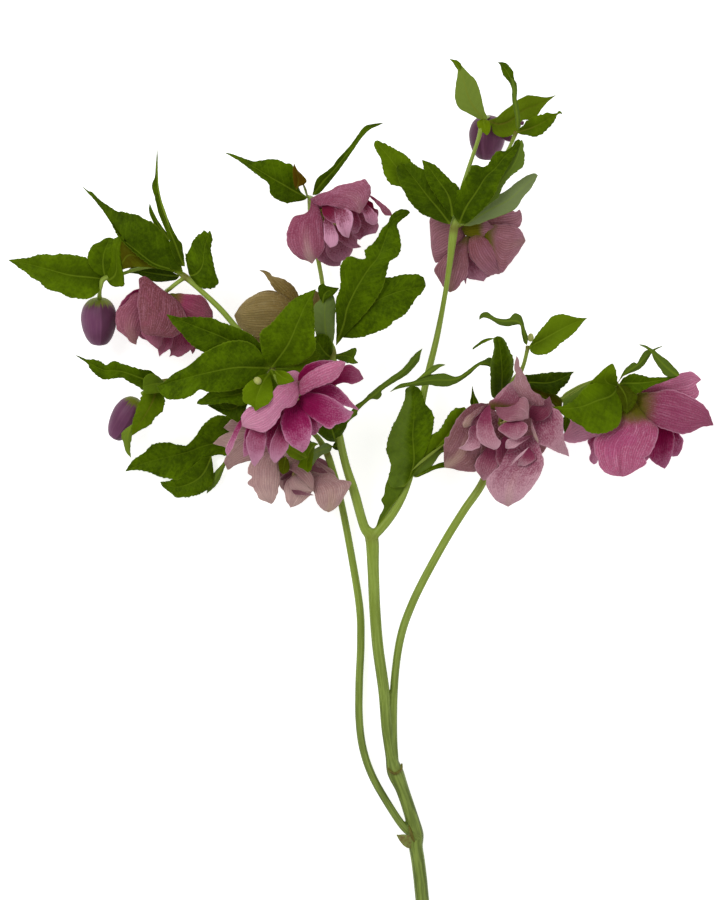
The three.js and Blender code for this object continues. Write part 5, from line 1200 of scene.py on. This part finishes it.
            ("in", (-56, 258), (-28.1, 260.3), [(-46, 264), (-38, 266.8), (-34, 267.4), (-30.3, 264.3)],
             [(-46, 256), (-39, 258.4), (-34, 257.7), (-30.5, 258.8)], (54, 58, 57), 1.5,
             dict(light=-0.5, deep=1)),
        ],
        hidden=[
            ("in", 8, [(-64, 251, 48), (-66, 242, 40), (-70, 235, 38)]),
            ("in", 8, [(-62, 251, 48), (-54, 244, 40), (-47, 240, 38)]),
            ("out", 7, [(-66, 255, 50), (-74, 246, 42), (-80, 238, 40)]),
        ]),
    "pale_bloom": dict(
        palette="pale", centre=(-61, 224, 20), mouth=(0.02, -0.92, -0.2), stalk=[(-50.4, 230.2, 14),
         (-53.4, 233.4, 16), (-58.5, 233, 19)],
        traced=[
            ("out", (-83, 232), (-98.3, 236.2), [(-90, 239), (-94, 240.2), (-97, 237.6)], [(-90, 233),
             (-95, 234)], (22, 22, 19), 0.8, dict(light=-0.25)),
            ("out", (-72, 228), (-103.7, 228.2), [(-85, 236), (-93, 234.5), (-99, 232.4)], [(-85, 225),
             (-95, 226), (-100, 227)], (23, 23, 18), 1.5, dict(green=0.3)),
            ("out", (-72, 226), (-97.2, 217), [(-80, 234), (-88, 232), (-93, 227), (-98, 220.3)], [(-78, 221),
             (-86, 219.5), (-92, 217.4), (-96, 215.2)], (25, 26, 19), 2, dict(light=-0.3)),
            ("out", (-73, 226), (-74.3, 198), [(-83, 221), (-86.3, 214.2), (-84, 211.6), (-86.3, 208.2),
             (-83.2, 205.9), (-80.3, 200.7), (-77, 199.2)], [(-70, 219), (-70, 211), (-71, 204.5),
             (-72.6, 199.8)], (24, 31, 32, 28), 2.5, dict(light=0.15)),
            ("out", (-61, 214), (-64.8, 196.2), [(-66, 210), (-67.7, 206), (-67.1, 200.5)], [(-56, 208),
             (-54.5, 203.5), (-58, 199.7), (-61.5, 197.3)], (24, 29, 29, 27), 1.5, dict(light=0.2)),
            ("out", (-62, 214), (-53.3, 204.3), [(-65.2, 209.5), (-64.3, 205.6), (-58, 204.3)],
             [(-58.5, 211)], (30, 32, 33), 0.8, dict(light=0.3, green=0.2)),
            ("in", (-64.3, 205.2), (-52.8, 202.4), [(-60, 204.8), (-56, 203.7)], [(-62.5, 202.9),
             (-58, 202.2)], (32, 33, 33), 0.3, dict(light=-0.1)),
            ("out", (-66.2, 216), (-53.2, 204.5), [(-62.5, 218.4), (-57.5, 216.6), (-53.3, 211)], [(-62, 213),
             (-57.5, 208.2)], (29, 34, 34), 1, dict(light=-0.15, deep=0.15)),
            ("out", (-54.8, 214.6), (-45.7, 193.8), [(-53.6, 208), (-52.9, 203), (-51.7, 199), (-49, 195.6)],
             [(-49, 213.3), (-44, 213.4), (-41, 210.6), (-34.8, 209.2), (-35.3, 206.3), (-38.3, 200.8),
             (-42, 196.1)], (25, 31, 32, 27), 2.5, dict(strip=0.5)),
            ("out", (-53.5, 221.3), (-42, 211.5), [(-50, 218.8), (-46, 216.4), (-43.2, 214.5)], [(-52, 217),
             (-49, 216), (-46, 213.6)], (22, 24, 24), 0.5, dict(light=-0.3)),
            ("out", (-60, 222), (-66.8, 215.4), [(-63.5, 221.7), (-66.2, 219.5)], [(-61, 217), (-64, 214.9)],
             (25, 28, 27), 0.8, dict(light=-0.15)),
            ("out", (-60, 224), (-69.3, 224.6), [(-64, 227), (-67.5, 226.5)], [(-63, 220.5), (-67.5, 221.5)],
             (26, 27, 24), 0.8, dict(green=1)),
            # a small petal painted dark for the shade that it lies in: painted shade
            ("in", (-63.5, 213.8), (-70.7, 210), [(-67.5, 213)], [(-66, 211), (-68.5, 209.8)], (22, 22, 22),
             0.3, dict(light=-0.5)),
        ],
        hidden=[
            ("in", 8, [(-61, 219, 19), (-61, 209, 17), (-60, 201, 17)]),
            ("in", 9, [(-61, 221, 14), (-62, 212, 6), (-62, 204, 2)]),
            ("in", 7, [(-66, 222, 14), (-76, 214, 8), (-80, 208, 8)]),
            ("in", 8, [(-57, 221, 14), (-50, 212, 7), (-46, 204, 6)]),
        ]),
    "double_bloom": dict(
        palette="lilac", centre=(43, 240, 22), mouth=(0, -0.3, 0.95), stalk=[(45, 255, 14),
         (44.5, 248, 14.5)],
        traced=[
            ("out", (36, 248.2), (12.2, 216.2), [(30, 248.3), (25, 247.1), (19.5, 242), (16.2, 236.5),
             (14.2, 231.9), (12.2, 230.5), (11.8, 223)], [(34, 240), (31, 228), (29.5, 219), (28.5, 214.5),
             (21, 214.5), (16, 215.7)], (30, 37, 38, 37, 32), 3.5, dict(light=-0.4, strip=0.8)),
            ("out", (33.5, 248.1), (21.7, 236.2), [(28, 245.3), (23.3, 241.6), (21.2, 238.3)], [(30, 243.5),
             (26.3, 240), (24.5, 236.5)], (36, 42, 42), 0.8, dict(strip=0.8)),
            ("in", (33.5, 247), (25.3, 234), [(28.5, 243.5), (25.5, 239.5)], [(34, 240), (29, 234)],
             (34, 38, 38), 0.5, dict(deep=0.7)),
            ("in", (34.8, 248), (36.6, 225.1), [(31, 244), (28.2, 238), (28.2, 232), (31, 227.8)],
             [(35.3, 242), (36.2, 236), (38.3, 231.3), (40, 228.8), (38.8, 225.9)], (42, 48, 51, 49), 1.8,
             dict(light=0.3, deep=0.45)),
            ("in", (29, 238), (19, 225.9), [(24.5, 236), (24, 231.5), (22, 227.8)], [(30.3, 232),
             (29.5, 226.5), (24, 224.6)], (39, 44, 42), 1.5, dict(light=0.35)),
            ("in", (38, 231), (31.3, 209.7), [(33, 226), (27.5, 219), (28.4, 214.2)], [(39.5, 224),
             (38.7, 217.5), (36, 213.3), (33.5, 210.3)], (31, 36, 37, 34), 1.5, dict(deep=0.35, light=-0.15)),
            ("in", (48.5, 232), (43.9, 196.6), [(43, 224.5), (40, 217.8), (36.4, 214.4), (33.3, 210.8),
             (33.2, 206.5), (37.5, 200.2), (41.5, 197.8)], [(57, 231.5), (60, 225.5), (61.5, 219), (60, 213),
             (55.5, 206), (50.5, 200.6), (46.5, 198.3)], (34, 41, 43, 41, 36), 3,
             dict(light=0.4, deep=0.15, strip=0.5, speckle=0.4)),
            ("in", (55, 243), (74.4, 221.7), [(60, 248), (64.8, 247), (70.5, 242.8), (71.3, 236),
             (71.9, 229.8), (73.6, 225.5)], [(56.5, 236), (58.5, 228.6), (62.5, 226.9), (66, 224.9),
             (70, 223.4)], (31, 38, 40, 39, 33), 2.5, dict(light=0.35, deep=0.35, speckle=0.3)),
            # a sheet painted dark at the top left of the right petal, where shade lies: painted shade
            ("in", (54.5, 241), (64.6, 251.8), [(54.5, 246), (58, 248.6), (61.5, 249.4)], [(59.5, 239.3),
             (64.8, 242.5), (65.6, 247.5)], (41.5, 42, 39.5), 0.6, dict(light=-0.7, deep=0.2)),
            ("out", (56, 247), (48, 271.9), [(50.5, 250.4), (47.5, 254.5), (46.1, 257.8), (47.5, 262.5),
             (46.7, 266)], [(61.5, 247.4), (60, 252), (56, 254.6), (52.8, 261), (49.6, 266.5), (49.1, 270)],
             (42, 48, 48, 43), 1.5, dict(light=0.15, deep=0.1)),
            ("in", (41, 244), (46.2, 259.4), [(34.5, 246), (34.6, 249.3), (37, 251), (42, 256.3)], [(52, 247),
             (52, 253.5), (49, 257.5)], (36, 41, 41), 1, dict(green=0.85, light=-0.15)),
            ("out", (37, 246.5), (53.8, 240.8), [(43, 246.4), (47.5, 247.9), (50.5, 251.4), (53.3, 250),
             (54.1, 245.5)], [(39, 241.8), (43.5, 239.4), (49, 239.6)], (42, 49, 52, 50), 1.5,
             dict(light=0.3, deep=0.7)),
            ("in", (46.5, 239.8), (47.8, 230), [(41.5, 238.3), (38.6, 235.4), (42, 232.5), (45, 230.6)],
             [(51.8, 238.9), (53.5, 235.9), (51.3, 232.2)], (45, 50, 51, 50), 1.2, dict(light=0.2, deep=0.4)),
            ("in", (56.5, 232.5), (42.3, 225.9), [(52, 231.9), (46, 231.2), (42.8, 229.7)], [(52, 229.5),
             (47, 226.3), (44.5, 225.6)], (43, 47, 47), 0.8, dict(light=0.35)),
            ("out", (44.6, 216.9), (54, 226.5), [(48, 221.5)], [(50, 221.8)], (46, 49, 48), 0.3,
             dict(light=0.8)),
            # a deep magenta sheet in the pocket under the rolled edge, standing for its shadow: painted
            # shadow
            ("in", (54, 226.5), (48, 217.3), [(50.5, 222)], [(57.5, 221), (53, 217.5)], (43, 45, 44), 0.5,
             dict(deep=0.5)),
            ("in", (42, 232), (42.5, 214), [(38, 226), (38.2, 219)], [(47, 228), (46, 219)], (34, 38, 40), 1,
             dict(deep=0.5)),
            ("out", (55.2, 241.2), (58.9, 228.3), [(55.2, 236), (56.9, 231)], [(56.6, 236), (58.2, 232)],
             (43, 46, 43), 0.2, dict(strip=1, light=0.3)),
        ],
        hidden=[
            ("out", 9, [(45, 242, 18), (57, 243, 20), (66, 236, 24)]),
            ("out", 8, [(40, 240, 18), (30, 240, 20), (22, 233, 26)]),
            ("out", 9, [(43, 236, 18), (45, 222, 22), (45, 208, 28)]),
            ("out", 9, [(40, 238, 18), (30, 230, 20), (24, 222, 26)]),
            ("out", 9, [(46, 238, 18), (56, 232, 20), (64, 229, 26)]),
        ]),
    "right_bloom": dict(
        palette="magenta", centre=(108.5, 247.5, 23), mouth=(0.2, -0.88, -0.35), stalk=[(98.5, 257.5, 28),
         (101.5, 255.6, 30), (104.5, 252.6, 30)],
        traced=[
            ("out", (106.8, 250.5), (101.5, 211.7), [(101, 245), (98.5, 238), (93, 234), (88, 231.5),
             (86.4, 227), (88.2, 220.5), (90.8, 215), (95.5, 212.4)], [(112.6, 242), (117, 238), (119, 234.5),
             (117.5, 228), (114.6, 223), (112.3, 221.3), (112.9, 218), (109, 215.6), (104.5, 212.8)],
             (31, 37, 39, 38, 32), 3, dict(crease=1, green=0.5, deep=0.15)),
            ("out", (104.5, 249), (146.8, 237.3), [(108.3, 253.2), (116.2, 254), (124.4, 255.2),
             (131.5, 253.3), (139.5, 249.3), (144, 244.5)], [(112, 241), (118.5, 236.8), (126, 234.1),
             (131.5, 232.9), (136.5, 234.3), (141, 236.5)], (28, 35, 36, 33, 26), 3.5,
             dict(light=-0.5, green=0.5)),
            ("out", (104.5, 251.5), (140.8, 260.2), [(114, 258), (124, 260.9), (130, 263.2), (135, 264.4),
             (138.5, 262.4)], [(118, 253), (128, 252), (137, 250.6), (139.7, 253.8), (137.7, 257.2)],
             (25, 28, 27, 22), 1.5, dict(light=0.15, deep=0.35)),
            ("in", (117, 240), (122.5, 215.5), [(118, 231), (114.3, 222.8), (116.5, 219), (120, 216.9)],
             [(126, 235), (127, 228), (125.9, 222), (124, 217.6)], (20, 22, 22, 20), 1.5, dict(deep=0.9)),
            ("in", (121, 238), (129, 221.9), [(124, 230), (125.5, 222.4)], [(128.5, 234.5), (131.8, 229.5),
             (130.9, 224.8)], (17, 19, 18), 1, dict(light=-0.2)),
            ("out", (98, 243), (70.7, 230.5), [(86, 243), (76, 240.7), (73.2, 235.3)], [(92, 234),
             (84.5, 230.3), (79.5, 228.8), (75, 228.6)], (22, 24, 22, 17), 2, dict(light=0.55, deep=0.2)),
            ("in", (96, 238), (87, 217.7), [(88, 234), (84.2, 230), (85.2, 224.5), (84.9, 220)], [(92, 228),
             (89, 219.5)], (18, 20, 20), 1, dict(light=0.2)),
        ],
        hidden=[
            ("in", 10, [(107, 240, 14), (107, 228, 5), (107, 218, 3)]),
            ("in", 8, [(110, 240, 14), (118, 231, 6), (124, 226, 5)]),
            ("in", 8, [(104, 240, 14), (95, 231, 7), (90, 226, 7)]),
        ]),
}


# ---- How the petals of each kind of bloom are coloured: inside and outside from base to tip, veins, the
# palest and the most shaded, the deepest inside, the strip along the middle, and how far green rises ----
PETAL_GREEN = rgb(96, 92, 4)
PALETTES = {
    "magenta": dict(inner=rgb(140, 14, 78), inner_tip=rgb(182, 76, 128), outer=rgb(172, 72, 112),
                    outer_tip=rgb(202, 108, 144), vein=rgb(120, 28, 66), pale=rgb(240, 184, 212),
                    shade=rgb(104, 30, 56), deep=rgb(124, 0, 58), strip=rgb(206, 156, 170), green_reach=0.05),
    "rose": dict(inner=rgb(124, 36, 64), inner_tip=rgb(148, 72, 100), outer=rgb(148, 70, 96),
                 outer_tip=rgb(166, 98, 118), vein=rgb(112, 38, 66), pale=rgb(222, 162, 190),
                 shade=rgb(114, 38, 60), deep=rgb(118, 0, 46), strip=rgb(196, 164, 156), green_reach=0.0),
    "mauve": dict(inner=rgb(138, 28, 78), inner_tip=rgb(160, 72, 106), outer=rgb(120, 60, 68),
                  outer_tip=rgb(138, 82, 88), vein=rgb(86, 34, 44), pale=rgb(206, 140, 164),
                  shade=rgb(98, 24, 46), deep=rgb(150, 14, 80), strip=rgb(164, 132, 116), green_reach=0.0),
    "dusk": dict(inner=rgb(128, 58, 80), inner_tip=rgb(158, 102, 124), outer=rgb(138, 84, 86),
                 outer_tip=rgb(166, 112, 124), vein=rgb(92, 46, 50), pale=rgb(190, 138, 156),
                 shade=rgb(80, 36, 40), deep=rgb(112, 38, 66), strip=rgb(134, 106, 78), green_reach=0.16),
    "pale": dict(inner=rgb(128, 78, 92), inner_tip=rgb(158, 112, 120), outer=rgb(168, 122, 124),
                 outer_tip=rgb(198, 162, 154), vein=rgb(134, 90, 98), pale=rgb(220, 190, 184),
                 shade=rgb(96, 54, 60), deep=rgb(116, 46, 72), strip=rgb(196, 168, 128), green_reach=0.04),
    "lilac": dict(inner=rgb(144, 64, 92), inner_tip=rgb(192, 136, 148), outer=rgb(136, 84, 88),
                  outer_tip=rgb(162, 122, 116), vein=rgb(110, 54, 70), pale=rgb(228, 182, 196),
                  shade=rgb(94, 34, 50), deep=rgb(124, 12, 66), strip=rgb(200, 172, 150), green_reach=0.0),
    "olive": dict(inner=rgb(104, 82, 34), inner_tip=rgb(128, 106, 58), outer=rgb(110, 86, 30),
                  outer_tip=rgb(148, 126, 76), vein=rgb(92, 70, 28), pale=rgb(172, 154, 112),
                  shade=rgb(66, 48, 14), deep=rgb(96, 62, 16), strip=rgb(148, 132, 88), green_reach=0.0),
}

# ---- Buds: turn is the share of a turn at which the first sepal starts, and cap how green its cap is ----
BUDS = {
    "left_bud": dict(centre=(-160.6, 289.4, 19), mouth=(0, -0.98, -0.15), across=9, along=12.3, turn=0.774,
                     cap=1),
    "low_bud": dict(centre=(-147.6, 240.8, 12.5), mouth=(-0.5, -0.85, -0.15), across=7.4, along=12,
                    turn=0.733, cap=1),
    "top_bud": dict(centre=(33.8, 381.4, 19), mouth=(-0.06, -0.98, -0.2), across=9.3, along=11.4, turn=0.183,
                    cap=0),
}
# three very small buds and a sepal of the top bud, which the solids leave out
SMALL = dict(turn=0.3, cap=1)
SMALL_BUDS = {
    "pale_bud": dict(SMALL, centre=(-81, 259.1, 62.5), mouth=(-0.1, -0.4, 0.9), across=2.1, along=2.3,
                     pale=True),
    "ring_bud": dict(SMALL, centre=(55.4, 281.3, 22), mouth=(0.1, 0.95, 0.3), across=1.6, along=2.1,
                     pale=True),
    "top_bud_sepal": dict(SMALL, centre=(44.2, 381.2, 25), mouth=(0.8, -0.35, 0.1), across=2, along=3,
                          pale=False),
    "top_small_bud": dict(SMALL, centre=(51, 388.2, 34), mouth=(0.4, 0.6, 0.6), across=0.9, along=1.2,
                          pale=False),
}


# ---- Building the pieces ----
def seeded(name):
    return sum(ord(c) * (k + 3) for k, c in enumerate(name)) % 97


def leaf(name, lobes, material):
    mesh = Mesh()
    for k, lobe in enumerate(lobes):
        traced(mesh, "leaf", lobe, seeded(name) + 5 * k)
    mesh.build(name + "_skin", [material], name)


DISC = [(-1.5, 0.8), (-1.3, 2.2), (-0.6, 3.8), (0.4, 4.3), (1.2, 3.4), (1.5, 1.2)]


def bloom(name, b, material):
    mesh = Mesh()
    seed = seeded(name)
    turned_form(mesh, b["centre"], b["mouth"], DISC, 16, seed)
    for k, (face, half, rib) in enumerate(b["hidden"]):
        up = UP if face == "in" else DOWN
        blade(mesh, dict(PETAL, up=up, rib=rib, left=half, right=half), seed + 7 * k)
    for k, petal in enumerate(b["traced"]):
        traced(mesh, "petal", petal, seed + 5 * k + 3)
    mesh.build(name + "_petals", [material], name)


NECTARIES, STAMENS, STYLES = 12, 46, 5
TUFT_FOOT = 1.8  # in front of the centre of the disc
ANTHER = [(-0.3, 0.2), (0.1, 0.55), (0.9, 0.5), (1.3, 0.2)]


def tuft(name, b, skins):
    """Nectaries, stamens and styles. skins are for nectaries, filaments and anthers."""
    mesh = Mesh()
    rng = np.random.default_rng(seeded(name))
    way, first, second = across_axes(b["mouth"], (0.2, 0.1, 1.0))
    foot = np.array(b["centre"], float) + way * TUFT_FOOT
    reach = b.get("reach", 1)

    def around(a, out, along):
        return foot + way * along + (first * math.cos(a) + second * math.sin(a)) * out

    def bent(a, *path):
        """A tube's points, where path gives (distance out, distance along, radius)."""
        return [(*around(a, out, along), radius) for out, along, radius in path]

    for k in range(NECTARIES):
        a = 2 * math.pi * k / NECTARIES
        tube(mesh, bent(a, (2.2, 0, 0.5), (3.0, 1.6, 0.9), (3.2, 3.0, 1.0)), 7, 1.0, k)
    for k in range(STAMENS):
        a = 2 * math.pi * k / STAMENS * 5 + rng.uniform(-0.2, 0.2)
        tip = rng.uniform(6.5, 10.5) * reach
        spread = rng.uniform(1.0, 3.4)
        base = rng.uniform(0.6, 1.9)
        tube(mesh, bent(a, (base, 0, 0.2), (spread * 0.8, tip / 2, 0.18), (spread, tip, 0.16)), 5, 1.6, k, 1)
        top = around(a, spread, tip - 0.3)
        turned_form(mesh, top, top - around(a, spread * 0.8, tip / 2), ANTHER, 6, k, 2)
    for k in range(STYLES):
        a = 2 * math.pi * k / STYLES
        path = [(0.7, 0, 1.0), (1.0, 4 * reach, 0.9), (0.9, 7.5 * reach, 0.4), (2.2, 11 * reach, 0.25)]
        tube(mesh, bent(a, *path), 7, 1.0, k)
    mesh.build(name + "_stamens", skins, name + "_tuft")


# (share of the length, share of the half width)
BUD_OUTLINE = [(0, 0.05), (0.03, 0.4), (0.08, 0.62), (0.16, 0.81), (0.26, 0.93), (0.4, 1), (0.52, 0.98),
               (0.64, 0.92), (0.76, 0.81), (0.84, 0.71), (0.92, 0.56), (0.97, 0.4), (1, 0.08)]
SEPALS = 3
OVERLAP = 0.06


def bud(name, b, material, sides, rows, replaces=None):
    """A bud of three sepals, each lying over the next one, that close at the mouth."""
    along = b["along"]
    outline = spline([(s, r, 0) for s, r in BUD_OUTLINE], rows)[0]
    profile = np.column_stack([(2 * outline[:, 0] - 1) * along, b["across"] * outline[:, 1]])

    def sepal(a):
        return SEPALS * (a / (2 * np.pi) - b["turn"])

    def overlap(s, a):
        share = (sepal(a) + 0.01 * s) % 1.0
        return 1 + OVERLAP * (share - 0.5) * np.minimum(1, (along * 1.02 - np.abs(s)) / along * 2.5)

    # the last sepal is darker: painted shade on the side of the bud that lies in shade
    def shaded_sepal(a):
        return np.where(sepal(a) % SEPALS > SEPALS - 1, 1.0, 0.0)

    mesh = Mesh()
    turned_form(mesh, b["centre"], b["mouth"], profile, sides, seeded(name), 0, overlap, shaded_sepal, b["cap"])
    mesh.build(name + "_sepals" if replaces else name, [material], replaces)


RING_REACH = 3.2  # of the brown around a ring
STEM_TOP = 400.0  # along y, for the share of its rise
VOXEL = 0.42  # of the remesh that joins the runs
STALK = 1.15  # the radius of a bloom's stalk
STALK_ENDS = (4.9, 0.8)  # its last two points, behind the centre of the bloom
STEM_SIDES = 18


def stem_runs():
    runs = list(STEM_RUNS)
    for b in BLOOMS.values():
        way = unit(np.array(b["mouth"], float))
        centre = np.array(b["centre"], float)
        points = [*b["stalk"], *(centre - way * end for end in STALK_ENDS)]
        runs.append([(*p, STALK) for p in points])
    return runs


def skin_over(runs):
    """One smooth skin over the tubes of all runs."""
    mesh = Mesh()
    for k, run in enumerate(runs):
        tube(mesh, run, STEM_SIDES, 1.0, k)
    raw = bpy.data.meshes.new("stem_raw")
    raw.from_pydata(np.vstack(mesh.points).tolist(), [], mesh.faces)
    shell = linked("stem_raw", raw)
    remesh = shell.modifiers.new("remesh", "REMESH")
    remesh.mode = "VOXEL"
    remesh.voxel_size = VOXEL
    relax = shell.modifiers.new("relax", "SMOOTH")
    relax.iterations = 6
    relax.factor = 0.5
    made = bpy.data.meshes.new_from_object(shell.evaluated_get(bpy.context.evaluated_depsgraph_get()))
    bpy.data.objects.remove(shell)
    return made


def stem(material):
    runs = stem_runs()
    made = skin_over(runs)
    centre_line = []
    for k, run in enumerate(runs):
        path, length = spline(run, int(length_of(run)))
        tangents, normals = frames(path[:, :3], UP)
        s = np.linspace(0, length, len(path))
        centre_line += [(path[i, :3], tangents[i], normals[i], s[i], k) for i in range(len(path))]
    tree = kdtree.KDTree(len(centre_line))
    for i, line in enumerate(centre_line):
        tree.insert(line[0], i)
    tree.balance()
    at = np.empty(len(made.vertices) * 3)
    made.vertices.foreach_get("co", at)
    at = at.reshape(-1, 3)
    flat, place = np.zeros_like(at), np.ones_like(at)
    rings = np.array(RINGS, float)
    for i, p in enumerate(at):
        centre, tangent, normal, s, k = centre_line[tree.find(p)[1]]
        out = p - centre
        angle = math.atan2(out.dot(np.cross(tangent, normal)), out.dot(normal))
        gap = np.min(np.linalg.norm(rings - p, axis=1))
        flat[i] = s + out.dot(tangent), angle, k
        place[i, :2] = p[1] / STEM_TOP, math.exp(-((gap / RING_REACH) ** 2))
    made.name = "stem_skin"
    made.vertices.foreach_set("co", (at * MM).ravel())
    finish_mesh(made, dict(flat=flat, place=place), [material], [0] * len(made.polygons), "stem")


leaf_skin = leaf_material(
    deep=rgb(54, 74, 0), light=rgb(84, 110, 0), under=rgb(94, 114, 44), vein=rgb(132, 154, 36),
    painted_light=rgb(114, 140, 6), dark=rgb(24, 36, 0), brown=rgb(86, 64, 4), stalk_colour=rgb(138, 154, 66),
    silver=rgb(136, 148, 104), red=rgb(112, 72, 38))
for leaf_name, leaf_lobes in LEAVES.items():
    leaf(leaf_name, leaf_lobes, leaf_skin)

bract_mesh = Mesh()
for bract_seed, bract in enumerate(PALE_BRACTS, 31):
    traced(bract_mesh, "leaf", bract, bract_seed)
bract_mesh.build("pale_bracts", [leaf_skin], None)

STAMEN_SKINS = [plain_material("nectary_skin", rgb(120, 124, 18), rgb(150, 150, 50)),
                plain_material("filament_skin", rgb(186, 184, 110), rgb(160, 156, 70)),
                plain_material("anther_skin", rgb(196, 186, 120), rgb(160, 140, 76))]
petal_skins = {key: petal_material("petal_" + key, **colours) for key, colours in PALETTES.items()}
for bloom_name, its in BLOOMS.items():
    bloom(bloom_name, its, petal_skins[its["palette"]])
    tuft(bloom_name, its, STAMEN_SKINS)

bud_skin = bud_material("bud_skin", body=rgb(110, 62, 94), shade=rgb(70, 32, 52), green=rgb(112, 122, 22),
                        vein=rgb(134, 88, 112))
for bud_name, its in BUDS.items():
    bud(bud_name, its, bud_skin, 72, 40, replaces=bud_name)

stem(stem_material(low=rgb(76, 91, 28), high=rgb(126, 146, 42), streak_colour=rgb(158, 180, 84),
                   highlight_colour=rgb(166, 188, 90), ring_colour=rgb(96, 74, 20)))

sheath_mesh = Mesh()
blade(sheath_mesh, dict(SHEATH, rib=SHEATH_RIB, left=2, right=4), 3)
tube(sheath_mesh, SHEATH_RIM, 8, 0.8, 5, 1)
tube(sheath_mesh, SHEATH_BARK, 8, 0.8, 6, 1)
sheath_skins = [plain_material("sheath_skin", rgb(124, 134, 62), rgb(112, 96, 44), 0.6, 0.6),
                plain_material("sheath_rim_skin", rgb(104, 104, 14), rgb(88, 76, 10), 0.6, 0.6)]
sheath_mesh.build("stem_sheaths", sheath_skins, None)

pale_bud_skin = bud_material("pale_bud_skin", body=rgb(184, 186, 110), shade=rgb(160, 166, 80),
                             green=rgb(120, 140, 50), vein=rgb(200, 196, 140))
for bud_name, its in SMALL_BUDS.items():
    bud(bud_name, its, pale_bud_skin if its["pale"] else bud_skin, 30, 14)


# ---- Floor, light and camera ----
FLOOR_HALF = 6
FLOOR_GLOW = 0.66
SKY_LIGHT = 0.5
EYE = (-0.030, 0.225, 5.0)
VIEW_HEIGHT = 0.45  # of the picture, on the level of the blooms
BLOOM_LEVEL = 0.025
SENSOR = 36.0
WHITE = (1, 1, 1, 1)

corners = [(x * FLOOR_HALF, y * FLOOR_HALF, 0) for x, y in ((-1, -1), (1, -1), (1, 1), (-1, 1))]
floor_data = bpy.data.meshes.new("floor")
floor_data.from_pydata(corners, [], [(0, 1, 2, 3)])
floor_shader = Shader("floor_skin", roughness=0.9, specular=0.1)
floor_grain = floor_shader.made("TexNoise", dict(Scale=40.0, Detail=2.0)).outputs[0]
floor_share = floor_shader.range(floor_grain, 0.3, 0.7)
floor_colour = floor_shader.mix(floor_share, (0.9, 0.9, 0.9, 1), (0.93, 0.93, 0.93, 1))
floor_shader.put(floor_shader.main.inputs["Base Color"], floor_colour)
floor_shader.main.inputs["Emission Color"].default_value = WHITE
floor_shader.main.inputs["Emission Strength"].default_value = FLOOR_GLOW
floor_data.materials.append(floor_shader.material)
floor = linked("floor", floor_data)

world = bpy.data.worlds.new("studio")
bpy.context.scene.world = world
world.use_nodes = True
world.node_tree.nodes["Background"].inputs["Color"].default_value = WHITE
world.node_tree.nodes["Background"].inputs["Strength"].default_value = SKY_LIGHT


def soft_light(name, at, aim, size, power):
    data = bpy.data.lights.new(name, "AREA")
    data.size = size
    data.energy = power
    lamp = linked(name, data)
    lamp.location = at
    lamp.rotation_euler = (Vector(aim) - Vector(at)).to_track_quat("-Z", "Y").to_euler()
    lamp.visible_camera = False


soft_light("key", (-0.9, 1.0, 1.5), (-0.03, 0.24, 0.02), 0.9, 13.5)
soft_light("fill", (1.1, 0.0, 1.4), (-0.03, 0.2, 0.02), 1.2, 5)

camera_data = bpy.data.cameras.new("camera")
camera_data.sensor_width = SENSOR
camera_data.lens = SENSOR * (EYE[2] - BLOOM_LEVEL) / VIEW_HEIGHT
camera_data.clip_end = 50
camera = linked("camera", camera_data)
camera.location = EYE
bpy.context.scene.camera = camera
bpy.context.scene.view_settings.view_transform = "Standard"
